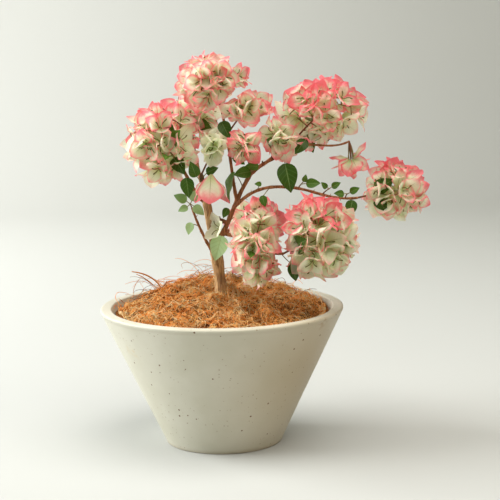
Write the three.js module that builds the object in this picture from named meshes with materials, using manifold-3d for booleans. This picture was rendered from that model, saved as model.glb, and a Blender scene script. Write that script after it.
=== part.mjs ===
// Potted bougainvillea: a small, open, many-branched plant in a wide cone-shaped pot mulched with coconut fibre.
// Millimetres, +Z up. The origin is the middle of the pot's flat underside; -Y is the side the plant is seen from.
import * as THREE from "three";
import Module from "manifold-3d";
import { mergeVertices } from "three/addons/utils/BufferGeometryUtils.js";

const wasm = await Module();
wasm.setup();

// Pot
const RIM_RADIUS = 150;
const BASE_RADIUS = 71;
const POT_HEIGHT = 168.5;
const WALL = 13.8;
const FLOOR = 16;
const EDGE_ROUND = 2.2;
const POT_SEGMENTS = 56;

// Filling: potting soil below, a mound of coconut fibre above
const GAP = 0.35;
const SOIL_TOP = 136;
const MULCH_EDGE = 158;
const MOUND_RISE = 29;
const MOUND_LEAN = 0.2;
const MOUND_BACK = [-0.33, 0.94];
const LUMPS = [
  { height: 2.2, along: 0.071, shift: 1.3, other: 0.083 },
  { height: 1.4, along: 0.13, shift: 0, other: 0.11 },
];
const MULCH_RINGS = 6;
const MULCH_SEGMENTS = 28;
const TRUNK_FOOT = 183;
const TRUNK_SOCKET = 11;
const SOCKET_DEPTH = 60;
const FLARE_SHARE = 1 / 7;
const LEAST_DETAIL = 0.06;

// Foliage. The seed of each mass, of its leaves and of its heads follow on from one number.
const SEED = 4100;
const MASS_SEED_STEP = 101;
const LEAF_SEED_STEP = 50;
const HEAD_SEED_STEP = 7;
const SIZE_SEED_STEP = 4;
const GOLDEN_ANGLE = Math.PI * (3 - Math.sqrt(5));
const BRACT = {
  long: 36, width: 33, thickness: 1.4, cup: 0.24,
  shape: (u) => (u / 0.4) ** 0.5 * ((1 - u) / 0.6) ** 0.75,
};
const LEAF = {
  long: 35, width: 23, thickness: 1.2, cup: 0.16,
  shape: (u) => (u / 0.34) ** 0.6 * ((1 - u) / 0.66) ** 1.1,
};
const SECTOR = 1.7;
const BRACT_FOOT_ANGLE = [0.85, 1.2];
const BRACT_TIP_ANGLE = [0.15, 0.7];
const LEAF_ARCH = [-0.3, 0.3];
const LEAF_BACK = [0, 1, -0.35];
const LEAF_TRIES = 14;
const LEAF_LEAN = [0.5, 0.7, 0.7];
const LEAF_STALK = [7, 20];
const LEAF_SHARE = [0.6, 0.95];
const HUB_RADIUS = 1.3;
const HUB_HEIGHT = 2.4;
const HEAD_HINT = [0.31, 0.23, 0.92];
const HEAD_TRIES = 20;
const HEAD_SIZE = [0.88, 1.14];
const SIZE_LOSS = 0.01;
const BRACT_LOSS = 0.06;
const AXIS_JITTER = 0.7;
const LEAST_FACING = 0.2;
const KNEE = 2.5;
const TURN_JITTER = 0.6;
const HEAD_SPREAD = 21;
const HEAD_RISE = [14, 24];
const LEAST_REACH = 0.12;
const HEAD_REACH = 55;
const START_CHOICES = 8;
const FLOWER_LENGTH = 13;
const PETIOLE_RADIUS = 0.75;
const TWIG_RADIUS = 1.0;
const STEM_RADIUS = 1.5;
const STEM_SHARE = 0.85;
const STEM_POINTS = 8;
const TWIG_POINTS = [0.3, 0.7];
const TWIG_CHECKS = [0.3, 0.5, 0.7, 0.9];
const STALK_CHECKS = [0.25, 0.5, 0.75, 1];

// Room kept between things that grow
const LIMB_CLEARANCE = 1.0;
const BLADE_CLEARANCE = 4.5;
const BLADE_SPACING = 3.2;
const LEAF_SPACING = 4;
const TWIG_SPACING = 2.4;
const SPACE_MARGIN = 0.03;
const NEARBY_SPACE = 1.3;
const ABOVE_RIM = 4;
const ABOVE_MULCH = 5;
const LIMB_SIDES = 6;
const LIMB_STEPS = 8;

// Each limb is one tapering Bezier curve; one that names a parent starts inside that limb.
const LIMBS = {
  trunk: {
    line: [[0, 0, TRUNK_FOOT], [-4, 1, 236], [-14, -8, 278], [-22, -11, 331]],
    radii: [6.6, 2.5], taper: 2.5, flare: 2.6, sides: 12, steps: 14,
  },
  left_bough: {
    parent: ["trunk"],
    line: [[-19, -9, 298], [-32, -11, 308], [-36, -12, 326], [-46, -16, 341]],
    radii: [2.6, 1.8],
  },
  leader: {
    parent: ["trunk"],
    line: [[-9, -4, 247], [9, -7, 257], [10, -9, 288], [40, -8, 335]],
    radii: [3.2, 2.3], sides: 8, steps: 12,
  },
  cross_stub: {
    parent: ["trunk", "leader"],
    line: [[-14, -7, 276], [-6, -8, 278], [2, -8, 274], [10, -8, 271]],
    radii: [2.9, 2.5], steps: 4,
  },
  right_bough: {
    parent: ["leader"],
    line: [[39.5, -8, 334.5], [52, -5, 343], [72, -4, 350], [88, 0, 365]],
    radii: [2.2, 1.7],
  },
  upright_bough: {
    parent: ["leader"],
    line: [[20, -9, 299], [14, -9, 330], [14, -2, 358], [5, 2, 401]],
    radii: [2.1, 1.5],
  },
  arching_branch_inner: {
    parent: ["leader"],
    line: [[16, -9, 289], [34, -18, 312], [55, -22, 319], [84, -24, 315.5]],
    radii: [2.0, 1.7],
  },
  arching_branch_outer: {
    parent: ["arching_branch_inner"],
    line: [[83.5, -24, 315.6], [112, -24, 313], [132, -18, 297], [166, -16, 300.5]],
    radii: [1.7, 1.4],
  },
  lower_bough: {
    parent: ["leader"],
    line: [[1, -6, 258], [24, -26, 262], [44, -46, 238], [74, -54, 240]],
    radii: [2.2, 1.6],
  },
  hanging_shoot: {
    parent: ["right_bough"],
    line: [[83, -1, 360], [108, -8, 372], [132, -8, 356], [157, -5, 368]],
    radii: [1.5, 1.1],
  },
  left_shoot: {
    parent: ["trunk"],
    line: [[-6, -2, 227], [-19, -8, 250], [-28, -15, 272], [-34, -18, 292]],
    radii: [1.9, 1.3],
  },
  back_left_bough: {
    parent: ["trunk"],
    line: [[-15, -7, 285], [-18, 18, 300], [-28, 36, 335], [-33, 52, 371]],
    radii: [2.8, 1.6],
  },
  back_right_bough: {
    parent: ["leader"],
    line: [[35, -8, 328], [50, 8, 340], [76, 30, 352], [98, 50, 371]],
    radii: [2.0, 1.5],
  },
  back_lower_bough: {
    parent: ["trunk"],
    line: [[-8, -4, 244], [2, 14, 252], [8, 30, 262], [26, 44, 258]],
    radii: [2.6, 1.6],
  },
};

// Each mass keeps to an ellipsoid. Its stem leaves a limb at a share of that limb's length, 1 being the tip.
const MASSES = [
  { name: "blossom_top", centre: [-7, 0, 442], radii: [54, 42, 41], limb: "upright_bough", at: 1, heads: 34, leaves: 2 },
  { name: "blossom_left", centre: [-66, -15, 369], radii: [55, 43, 56], limb: "left_bough", at: 1, heads: 46, leaves: 4 },
  { name: "blossom_mid_upper", centre: [34, -10, 410], radii: [40, 34, 30], limb: "upright_bough", at: 0.8, heads: 20, leaves: 1 },
  { name: "blossom_mid_front", centre: [31, -28, 368], radii: [28, 28, 31], limb: "leader", at: 0.97, heads: 14, leaves: 1 },
  { name: "blossom_mid_right", centre: [70, -18, 376], radii: [36, 34, 35], limb: "right_bough", at: 0.5, heads: 20, leaves: 1 },
  { name: "blossom_upper_right", centre: [125, 4, 404], radii: [65, 44, 47], limb: "right_bough", at: 1, heads: 44, leaves: 2 },
  { name: "blossom_hanging", centre: [160, -5, 343], radii: [29, 27, 29], limb: "hanging_shoot", at: 1, heads: 11, leaves: 0, lean: [0, 0, -1] },
  { name: "blossom_far_right", centre: [210, -10, 308], radii: [49, 39, 44], limb: "arching_branch_outer", at: 1, heads: 32, leaves: 2 },
  { name: "blossom_lower_left", centre: [43, -54, 250], radii: [38, 37, 54], limb: "lower_bough", at: 0.5, heads: 28, leaves: 2 },
  { name: "blossom_lower_right", centre: [116, -60, 260], radii: [55, 45, 57], limb: "lower_bough", at: 1, heads: 40, leaves: 4 },
  { name: "blossom_centre", centre: [-6, -20, 366], radii: [28, 28, 30], limb: "trunk", at: 1, heads: 14, leaves: 1 },
  { name: "blossom_back_left", centre: [-36, 60, 392], radii: [47, 38, 42], limb: "back_left_bough", at: 1, heads: 17, leaves: 4 },
  { name: "blossom_back_right", centre: [106, 66, 384], radii: [48, 37, 40], limb: "back_right_bough", at: 1, heads: 17, leaves: 4 },
  { name: "blossom_back_lower", centre: [46, 58, 260], radii: [46, 38, 42], limb: "back_lower_bough", at: 1, heads: 17, leaves: 4 },
];

// A sprig is one leaf or a few on a short twig. Each leaf runs from the foot of its blade to its tip.
const SPRIGS = [
  { name: "leaf_left_dark", limb: "left_bough", at: 0.5, leaves: [[[-40, -29, 330], [-37, -33, 305]]] },
  { name: "leaf_trunk_tip_left", limb: "trunk", at: 0.93, leaves: [[[-28, -25, 330], [-35, -30, 350]]] },
  { name: "leaf_trunk_tip_right", limb: "trunk", at: 0.97, leaves: [[[-16, -19, 334], [-1, -25, 341]]] },
  { name: "leaf_on_trunk", limb: "trunk", at: 0.53, leaves: [[[1, -20, 258], [-8, -27, 227]]] },
  { name: "leaf_left_shoot_low", limb: "left_shoot", at: 0.62, leaves: [[[-36, -22, 275], [-39, -26, 260]]] },
  {
    name: "leaves_left_shoot", limb: "left_shoot", at: 1, knot: [-36, -20, 297],
    leaves: [
      [[-40, -22, 301], [-56, -24, 309]],
      [[-34, -23, 301], [-27, -27, 316]],
      [[-39, -23, 294], [-51, -27, 289]],
      [[-32, -24, 295], [-19, -28, 284]],
    ],
  },
  { name: "leaf_tall", limb: "leader", at: 0.84, back: [1, 0.3, 0], leaves: [[[18, -19, 335], [11, -20, 297]]] },
  {
    name: "leaves_fork", limb: "leader", at: 0.93, knot: [40, -17, 336],
    leaves: [[[37, -21, 335], [16, -30, 332]], [[47, -20, 341], [30, -25, 342]]],
  },
  { name: "leaf_fork_low", limb: "leader", at: 0.5, leaves: [[[9, -17, 291], [3, -21, 279]]] },
  { name: "leaf_upright_bough", limb: "upright_bough", at: 0.86, leaves: [[[3, -13, 395], [13, -20, 374]]] },
  { name: "leaf_upright_low", limb: "upright_bough", at: 0.52, leaves: [[[17, -6, 353], [31, -8, 342]]] },
  { name: "leaf_big_hanging", limb: "right_bough", at: 0.74, leaves: [[[78, -27, 345], [85, -34, 309]]] },
  { name: "leaf_right_bough", limb: "hanging_shoot", at: 0.45, leaves: [[[104, -19, 372], [90, -26, 355]]] },
  { name: "leaf_arch_rising", limb: "arching_branch_inner", at: 0.48, leaves: [[[50, -26, 320], [41, -29, 321]]] },
  { name: "leaf_arch_under", limb: "arching_branch_inner", at: 0.7, leaves: [[[50, -30, 307], [54, -33, 293]]] },
  {
    name: "leaves_arch_crest", limb: "arching_branch_outer", at: 0.12, knot: [97, -26, 319],
    leaves: [[[101, -28, 322], [103, -31, 332]], [[103, -29, 320], [121, -32, 321]]],
  },
  {
    name: "leaves_arch_middle", limb: "arching_branch_outer", at: 0.5, knot: [131, -24, 313],
    leaves: [[[128, -27, 314], [121, -30, 322]], [[134, -26, 315], [145, -29, 321]]],
  },
  {
    name: "leaves_arch_outer", limb: "arching_branch_outer", at: 0.84, knot: [153, -21, 306],
    leaves: [[[149, -24, 306], [136, -28, 308]], [[156, -23, 308], [168, -26, 314]]],
  },
  { name: "leaf_arch_hanging", limb: "arching_branch_outer", at: 0.9, leaves: [[[159, -24, 299], [154, -29, 278]]] },
  { name: "leaf_lower_bough", limb: "lower_bough", at: 0.97, leaves: [[[84, -64, 230], [88, -68, 208]]] },
];

// Loose flower heads that grow straight from a limb, outside the masses.
const LOOSE_HEADS = [
  { name: "bloom_drooping", limb: "trunk", at: 0.91, site: [-10, -31, 334], way: [-0.05, -0.1, -1], roll: 2.1, size: 1.15, open: [0.8, 0.15] },
  { name: "bloom_pale", limb: "cross_stub", at: 0.6, site: [0, -19, 266], way: [-0.8, -0.45, 0.25], roll: 0.4, size: 0.62, open: [1.1, 0.7] },
];

// Vectors are plain arrays of three numbers.
const add = (a, b) => a.map((x, i) => x + b[i]);
const sub = (a, b) => a.map((x, i) => x - b[i]);
const times = (a, k) => a.map((x) => x * k);
const dot = (a, b) => a[0] * b[0] + a[1] * b[1] + a[2] * b[2];
const cross = (a, b) => [
  a[1] * b[2] - a[2] * b[1],
  a[2] * b[0] - a[0] * b[2],
  a[0] * b[1] - a[1] * b[0],
];
const length = (a) => Math.sqrt(dot(a, a));
const apart = (a, b) => Math.sqrt((a[0] - b[0]) ** 2 + (a[1] - b[1]) ** 2 + (a[2] - b[2]) ** 2);
const unit = (a) => times(a, 1 / length(a));
const mix = (a, b, t) => a + (b - a) * t;
const between = (a, b, t) => a.map((x, i) => mix(x, b[i], t));

// A small repeatable random source: the same seed always gives the same draws from 0 to 1.
function seeded(seed) {
  let state = seed >>> 0;
  return () => {
    state = (state + 0x6d2b79f5) >>> 0;
    let t = state;
    t = Math.imul(t ^ (t >>> 15), t | 1);
    t ^= t + Math.imul(t ^ (t >>> 7), t | 61);
    return ((t ^ (t >>> 14)) >>> 0) / 4294967296;
  };
}

// A closed solid from points and triangles, turned the right way out if need be.
function solidOf(points, triangles) {
  const build = (faces) =>
    new wasm.Manifold(
      new wasm.Mesh({
        numProp: 3,
        vertProperties: new Float32Array(points.flat()),
        triVerts: new Uint32Array(faces.flat()),
      }),
    );
  const made = build(triangles);
  return made.volume() < 0 ? build(triangles.map(([a, b, c]) => [a, c, b])) : made;
}

// The largest piece of a solid, so that a scrap cut loose is dropped.
function largest(solid) {
  return solid.decompose().reduce((best, piece) => (piece.volume() > best.volume() ? piece : best));
}

// The surface of a solid, with the slivers that a cut leaves closed up.
function geometryOf(solid) {
  const mesh = solid.simplify(LEAST_DETAIL).getMesh();
  const positions = new Float32Array(mesh.numVert * 3);
  for (let i = 0; i < mesh.numVert; i++) {
    positions.set(mesh.vertProperties.subarray(i * mesh.numProp, i * mesh.numProp + 3), i * 3);
  }
  const geometry = new THREE.BufferGeometry();
  geometry.setAttribute("position", new THREE.BufferAttribute(positions, 3));
  geometry.setIndex(new THREE.BufferAttribute(new Uint32Array(mesh.triVerts), 1));
  geometry.computeVertexNormals();
  return geometry;
}

function lathe(profile, segments) {
  const geometry = new THREE.LatheGeometry(profile.map(([r, z]) => new THREE.Vector2(r, z)), segments);
  geometry.rotateX(Math.PI / 2);
  geometry.deleteAttribute("normal");
  geometry.deleteAttribute("uv");
  const merged = mergeVertices(geometry, 1e-3);
  merged.computeVertexNormals();
  return merged;
}

// A perpendicular pair for a direction: out is the part of hint across it, side completes the set.
function across(direction, hint) {
  const out = unit(sub(hint, times(direction, dot(hint, direction))));
  return { out, side: cross(direction, out) };
}

const turned = (frame, angle) => add(times(frame.out, Math.cos(angle)), times(frame.side, Math.sin(angle)));

// The triangles of a tube between rings of corners that follow each other in one list.
function ringFaces(rings, sides) {
  const faces = [];
  for (let i = 0; i + 1 < rings; i++) {
    for (let k = 0; k < sides; k++) {
      const a = i * sides + k;
      const b = i * sides + ((k + 1) % sides);
      faces.push([a, b, b + sides], [a, b + sides, a + sides]);
    }
  }
  return faces;
}

// A closed tube through points, with a ring of a few corners at each and flat ends.
function tube(points, radii, sides, levelFoot = false) {
  const corners = [];
  let hint = [0.1, -1, 0.05];
  points.forEach((point, i) => {
    const before = points[Math.max(i - 1, 0)];
    const after = points[Math.min(i + 1, points.length - 1)];
    const along = levelFoot && i === 0 ? [0, 0, 1] : unit(sub(after, before));
    const frame = across(along, hint);
    hint = frame.out;
    for (let k = 0; k < sides; k++) {
      corners.push(add(point, times(turned(frame, (2 * Math.PI * k) / sides), radii[i])));
    }
  });
  const faces = ringFaces(points.length, sides);
  const last = (points.length - 1) * sides;
  for (let k = 1; k + 1 < sides; k++) {
    faces.push([0, k + 1, k], [last, last + k, last + k + 1]);
  }
  return solidOf(corners, faces);
}

function bezier(line, t) {
  const s = 1 - t;
  const weights = [s * s * s, 3 * s * s * t, 3 * s * t * t, t * t * t];
  return weights.reduce((sum, w, i) => add(sum, times(line[i], w)), [0, 0, 0]);
}

// Evenly stepped points along a limb, each with its radius. The flare widens only the foot.
function limbRun(limb) {
  const steps = limb.steps ?? LIMB_STEPS;
  const points = [];
  const radii = [];
  for (let i = 0; i <= steps; i++) {
    const t = i / steps;
    const flare = (limb.flare ?? 0) * Math.max(0, 1 - t / FLARE_SHARE) ** 2;
    points.push(bezier(limb.line, t));
    radii.push(mix(limb.radii[0], limb.radii[1], t ** (limb.taper ?? 1)) + flare);
  }
  return { points, radii };
}

const runs = Object.fromEntries(Object.entries(LIMBS).map(([name, limb]) => [name, limbRun(limb)]));
const limbPoint = ({ limb, at }) => bezier(LIMBS[limb].line, at);
const limbSides = (name) => LIMBS[name].sides ?? LIMB_SIDES;

function limbSolid(name) {
  const { points, radii } = runs[name];
  return tube(points, radii, limbSides(name), name === "trunk");
}

// The room a limb takes up with the gap round it, past both its ends as well.
function limbRoom(name) {
  const { points, radii } = runs[name];
  const past = (end, inner) => add(end, times(unit(sub(end, inner)), GAP));
  const line = [past(points[0], points[1]), ...points, past(points.at(-1), points.at(-2))];
  const grown = [radii[0], ...radii, radii.at(-1)].map((r) => r + GAP);
  return tube(line, grown, limbSides(name));
}

// The straight pieces of every limb, each with a ball round it that rules out most points at once.
const limbPieces = Object.values(runs).flatMap(({ points, radii }) =>
  points.slice(1).map((b, i) => {
    const a = points[i];
    return { a, ab: sub(b, a), middle: between(a, b, 0.5), half: apart(a, b) / 2, radii: [radii[i], radii[i + 1]] };
  }),
);

function touchesLimb(p, clearance) {
  return limbPieces.some(({ a, ab, middle, half, radii }) => {
    if (apart(p, middle) > half + radii[0] + clearance) return false;
    const t = Math.min(1, Math.max(0, dot(sub(p, a), ab) / dot(ab, ab)));
    return apart(p, add(a, times(ab, t))) < mix(radii[0], radii[1], t) + clearance;
  });
}

// How far out a point is in a mass: 0 at its centre, 1 at the edge of its space.
const depthIn = (mass, p) => length(mass.centre.map((c, i) => (p[i] - c) / mass.radii[i]));

function inSpace(mass, p) {
  const own = depthIn(mass, p);
  return own <= 1 && MASSES.every((other) => other === mass || depthIn(other, p) > own + SPACE_MARGIN);
}

// Top of the fibre mound: a dome, higher towards the back left, with soft lumps.
function mulchTop(x, y) {
  const reach = Math.hypot(x, y) / (RIM_RADIUS - WALL);
  const dome = Math.sqrt(Math.max(0, 1 - reach * reach));
  const lean = MOUND_LEAN * (x * MOUND_BACK[0] + y * MOUND_BACK[1]);
  const lumps = LUMPS.map(({ height, along, shift, other }) => height * Math.sin(x * along + shift) * Math.cos(y * other));
  return MULCH_EDGE + dome * (MOUND_RISE + lean + lumps[0] + lumps[1]);
}

const aboveMulch = (p) => p[2] > Math.max(POT_HEIGHT + ABOVE_RIM, mulchTop(p[0], p[1]) + ABOVE_MULCH);

// A blade is a bract or a leaf. It starts at base and opens from axis towards out, by angles that
// grow from open[0] at its foot to open[1] at its tip.
function makeBlade(kind, base, axis, out, size, open) {
  return { kind, base, axis, out, side: cross(axis, out), size, open };
}

// The way the inner face of a blade looks at a share u of its length.
function innerWay({ axis, out, open }, u) {
  const angle = mix(open[0], open[1], u);
  return add(times(axis, Math.sin(angle)), times(out, -Math.cos(angle)));
}

// Bracts of one head keep to a third of the turn each, so they are narrow where they are near its axis.
function halfWidth({ kind, size, open }, u, spread) {
  const half = (kind.width / 2) * size * kind.shape(u);
  if (kind !== BRACT) return half;
  const angle = mix(open[0], open[1], u);
  const room = (SECTOR * (HUB_RADIUS / 2 + spread)) / (1 + SECTOR * kind.cup * Math.cos(angle));
  return Math.min(half, room);
}

function bladePoint(blade, u, v) {
  const { kind, base, axis, out, side, open, size } = blade;
  const bend = open[1] - open[0];
  const angle = open[0] + bend * u;
  const rise = ((Math.sin(angle) - Math.sin(open[0])) / bend) * kind.long * size;
  const spread = ((Math.cos(open[0]) - Math.cos(angle)) / bend) * kind.long * size;
  const half = halfWidth(blade, u, spread);
  const midrib = add(add(base, times(axis, rise)), times(out, spread));
  const fold = times(innerWay(blade, u), kind.cup * half * v * v);
  return add(add(midrib, times(side, half * v)), fold);
}

const OUTLINE = [[0.26, -1], [0.64, -1], [1, 0], [0.64, 1], [0.26, 1]];
const MIDDLE = 0.42;
const SAMPLES = [0.26, 0.45, 0.64, 0.82, 1].flatMap((u) => [-1, -0.5, 0, 0.5, 1].map((v) => [u, v]));

// The outline of a blade and the two points that give it thickness, on its inner and outer face.
function bladeCorners(blade) {
  const middle = bladePoint(blade, MIDDLE, 0);
  const thick = times(innerWay(blade, MIDDLE), blade.kind.thickness / 2);
  return [...OUTLINE.map(([u, v]) => bladePoint(blade, u, v)), add(middle, thick), sub(middle, thick)];
}

const samplesOf = (blade) => SAMPLES.map(([u, v]) => bladePoint(blade, u, v));
const isCrowded = (points, taken, spacing) => points.some((p) => taken.some((q) => apart(p, q) < spacing));

// A flower head is one solid: a three-sided twig, a hub with a bract on each side that has one, and
// the flower tubes as a slim spike in the middle. Where the head folds back on its twig, it starts from
// a short knee, and the twig is a tube of its own that ends in the hub.
function headSolid(head) {
  const { from, site, axis, roll, bracts } = head;
  const frame = across(axis, HEAD_HINT);
  const way = unit(sub(site, from));
  if (dot(way, axis) < LEAST_FACING) {
    return headSolid({ ...head, from: sub(site, times(axis, KNEE)) }).add(tube([from, site], [TWIG_RADIUS, TWIG_RADIUS], 3));
  }
  const arms = [0, 1, 2].map((k) => turned(frame, roll + ((2 * k - 1) * Math.PI) / 3));
  const feet = arms.map((arm) => add(from, times(across(way, arm).out, TWIG_RADIUS)));
  const ring = (height) => arms.map((arm) => add(add(site, times(axis, height)), times(arm, HUB_RADIUS)));
  const points = [...feet, ...ring(-HUB_HEIGHT / 2), ...ring(HUB_HEIGHT / 2), add(site, times(axis, FLOWER_LENGTH))];
  const faces = [[0, 2, 1], ...ringFaces(2, 3)];
  for (let k = 0; k < 3; k++) {
    const next = (k + 1) % 3;
    const [g, g2, h, h2] = [3 + k, 3 + next, 6 + k, 6 + next];
    faces.push([h, h2, 9]);
    if (!bracts[k]) {
      faces.push([g, g2, h2], [g, h2, h]);
      continue;
    }
    const first = points.length;
    points.push(...bladeCorners(bracts[k]));
    const [l1, l2, tip, r2, r1, inner, outer] = [0, 1, 2, 3, 4, 5, 6].map((i) => first + i);
    const edge = [l1, l2, tip, r2, r1];
    faces.push([g2, h2, r1], [h, g, l1]);
    fan([g2, g, ...edge], outer, faces, true);
    fan([h2, h, ...edge], inner, faces, false);
  }
  return solidOf(points, faces);
}

// Triangles from a middle point to each side of a loop of corners, in the loop's order or against it.
function fan(loop, middle, faces, against) {
  loop.forEach((corner, i) => {
    const next = loop[(i + 1) % loop.length];
    faces.push(against ? [next, corner, middle] : [corner, next, middle]);
  });
}

// A leaf is one solid too: its three-sided petiole widens into the blade. It has a knee by the same rule.
function leafSolid({ from, blade }) {
  const way = unit(sub(blade.base, from));
  if (dot(way, blade.axis) < LEAST_FACING) {
    const knee = sub(blade.base, times(blade.axis, KNEE));
    return leafSolid({ from: knee, blade }).add(tube([from, blade.base], [PETIOLE_RADIUS, PETIOLE_RADIUS], 3));
  }
  const arms = [times(blade.side, -1), blade.side, blade.out];
  const feet = arms.map((arm) => add(from, times(across(way, arm).out, PETIOLE_RADIUS)));
  const neck = arms.map((arm) => add(blade.base, times(arm, PETIOLE_RADIUS)));
  const points = [...feet, ...neck, ...bladeCorners(blade)];
  const faces = [[0, 2, 1], ...ringFaces(2, 3)];
  const edge = [6, 7, 8, 9, 10];
  fan([4, 3, ...edge], 11, faces, true);
  fan([4, 5, 3, ...edge], 12, faces, false);
  return solidOf(points, faces);
}

// The leaf that runs from foot to tip, with its face turned to the front and up.
function leafTo(from, foot, tip, back = LEAF_BACK) {
  const axis = unit(sub(tip, foot));
  const size = length(sub(tip, foot)) / LEAF.long;
  return { from, blade: makeBlade(LEAF, foot, axis, across(axis, back).out, size, LEAF_ARCH) };
}

// One flower head of a mass. Its tilt, roll and spread are redrawn until enough of its bracts find room.
function growHead(from, { site, facing }, draw, allowed, taken, least, scale) {
  const way = unit(sub(site, from));
  for (let attempt = 0; attempt < HEAD_TRIES; attempt++) {
    const size = scale * mix(...HEAD_SIZE, draw()) * (1 - SIZE_LOSS * attempt);
    const axis = unit(add(facing, times([draw() - 0.5, draw() - 0.5, draw() - 0.5], AXIS_JITTER)));
    const roll = draw() * 2 * Math.PI;
    const open = [mix(...BRACT_FOOT_ANGLE, draw()), mix(...BRACT_TIP_ANGLE, draw())];
    if (dot(axis, way) < LEAST_FACING) continue;
    const frame = across(axis, HEAD_HINT);
    const bracts = [0, 1, 2].map((k) => {
      const out = turned(frame, roll + (2 * Math.PI * k) / 3);
      const base = add(site, times(out, HUB_RADIUS / 2));
      const blade = makeBlade(BRACT, base, axis, out, size * (1 - BRACT_LOSS * k), open);
      const points = samplesOf(blade);
      return points.every(allowed) && !isCrowded(points, taken, BLADE_SPACING) ? blade : null;
    });
    if (bracts.filter(Boolean).length >= least) return { from, site, axis, roll, bracts };
  }
  return null;
}

// Sites of the heads: spread evenly over the ellipsoid, and deep enough for the bracts to stay in it.
function headSites(mass, draw) {
  const sites = [];
  for (let k = 0; k < mass.heads; k++) {
    const height = 1 - (2 * (k + 0.5)) / mass.heads;
    const turn = k * GOLDEN_ANGLE + draw() * TURN_JITTER;
    const level = Math.sqrt(1 - height * height);
    const way = [level * Math.cos(turn), level * Math.sin(turn), height];
    const radius = length(way.map((w, i) => w * mass.radii[i]));
    const reach = (Math.sqrt(Math.max(0, radius ** 2 - HEAD_SPREAD ** 2)) - mix(...HEAD_RISE, draw())) / radius;
    const site = mass.centre.map((c, i) => c + mass.radii[i] * way[i] * Math.max(reach, LEAST_REACH));
    const facing = unit(add(unit(way.map((w, i) => w / mass.radii[i])), mass.lean ?? [0, 0, 0]));
    sites.push({ site, facing });
  }
  return sites;
}

// Twigs grow from the stem to each site, nearest first, each from the closest point already grown.
// The leaves come first, then heads with all three bracts, then heads with two where they still fit.
function growMass(mass, index) {
  const seed = SEED + index * MASS_SEED_STEP;
  const root = limbPoint(mass);
  const stemEnd = between(root, mass.centre, STEM_SHARE);
  const allowed = (p) => inSpace(mass, p) && aboveMulch(p) && !touchesLimb(p, BLADE_CLEARANCE);
  const clear = (p) => inSpace(mass, p) && !touchesLimb(p, LIMB_CLEARANCE + TWIG_RADIUS);
  const alongStem = Array.from({ length: STEM_POINTS }, (_, i) => between(root, stemEnd, (i + 1) / STEM_POINTS));
  const skeleton = alongStem.filter(clear);
  const blades = sprigPoints.filter((p) => depthIn(mass, p) < NEARBY_SPACE);
  const fromRoot = ({ site }) => apart(site, root);
  const sites = headSites(mass, seeded(seed)).sort((a, b) => fromRoot(a) - fromRoot(b));
  const heads = [];
  const growHeads = (least, size) => {
    sites.forEach((place, k) => {
      if (place.taken) return;
      const start = twigStart(skeleton, place.site, clear, blades);
      if (!start || !clear(place.site)) return;
      const draw = seeded(seed + k * HEAD_SEED_STEP + least + Math.round(size * SIZE_SEED_STEP));
      const around = [...skeleton, ...blades].filter((p) => apart(p, place.site) < HEAD_REACH);
      const head = growHead(start, place, draw, allowed, around, least, size);
      if (!head) return;
      place.taken = true;
      heads.push(head);
      skeleton.push(...TWIG_POINTS.map((t) => between(start, place.site, t)));
      for (const blade of head.bracts.filter(Boolean)) blades.push(...samplesOf(blade));
    });
  };
  const leaves = growLeaves(mass, skeleton, seeded(seed + LEAF_SEED_STEP), allowed, blades);
  growHeads(3, 1);
  growHeads(3, 0.75);
  growHeads(2, 0.75);
  return { stem: [root, stemEnd], heads, leaves };
}

// The closest point already grown from which a straight twig reaches the site without meeting a blade.
function twigStart(skeleton, site, clear, blades) {
  const starts = skeleton
    .filter((p) => apart(p, site) > 2 * TWIG_RADIUS)
    .sort((a, b) => apart(a, site) - apart(b, site))
    .slice(0, START_CHOICES);
  return starts.find((start) => {
    const path = TWIG_CHECKS.map((t) => between(start, site, t));
    return path.every(clear) && !isCrowded(path.slice(1), blades, TWIG_SPACING);
  });
}

// The leaves of a mass stand on its stem and point every way, drooping a little.
function growLeaves(mass, skeleton, draw, allowed, blades) {
  const leaves = [];
  for (let k = 0; k < mass.leaves * LEAF_TRIES && leaves.length < mass.leaves; k++) {
    const from = skeleton[Math.floor(draw() * skeleton.length)];
    const axis = unit(LEAF_LEAN.map((lean) => draw() - lean));
    const foot = add(from, times(axis, mix(...LEAF_STALK, draw())));
    const tip = add(foot, times(axis, LEAF.long * mix(...LEAF_SHARE, draw())));
    const leaf = leafTo(from, foot, tip);
    const points = samplesOf(leaf.blade);
    if (!points.every(allowed) || isCrowded(points, blades, LEAF_SPACING)) continue;
    leaves.push(leaf);
    blades.push(...points);
  }
  return leaves;
}

function massSolid(mass, index) {
  const { stem, heads, leaves } = growMass(mass, index);
  const solids = [tube(stem, [STEM_RADIUS, TWIG_RADIUS], 3), ...heads.map(headSolid), ...leaves.map(leafSolid)];
  return rooted(solids, mass.limb);
}

// What grows on a limb is fused into one solid and starts clear of the limb's own surface.
function rooted(solids, limb) {
  return largest(wasm.Manifold.union(solids).subtract(limbRoom(limb)));
}

const sprigLeaves = ({ limb, at, knot, back, leaves }) =>
  leaves.map(([foot, tip]) => leafTo(knot ?? limbPoint({ limb, at }), foot, tip, back));

function sprigSolid(sprig) {
  const solids = sprigLeaves(sprig).map(leafSolid);
  const root = limbPoint(sprig);
  if (sprig.knot) {
    const end = add(sprig.knot, unit(sub(sprig.knot, root)));
    solids.push(tube([root, end], [TWIG_RADIUS, TWIG_RADIUS], 3));
  }
  return rooted(solids, sprig.limb);
}

function looseHead({ limb, at, site, way, roll, size, open }) {
  const axis = unit(way);
  const frame = across(axis, HEAD_HINT);
  const bracts = [0, 1, 2].map((k) => {
    const out = turned(frame, roll + (2 * Math.PI * k) / 3);
    return makeBlade(BRACT, add(site, times(out, HUB_RADIUS / 2)), axis, out, size, open);
  });
  return { from: limbPoint({ limb, at }), site, axis, roll, bracts };
}

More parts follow.
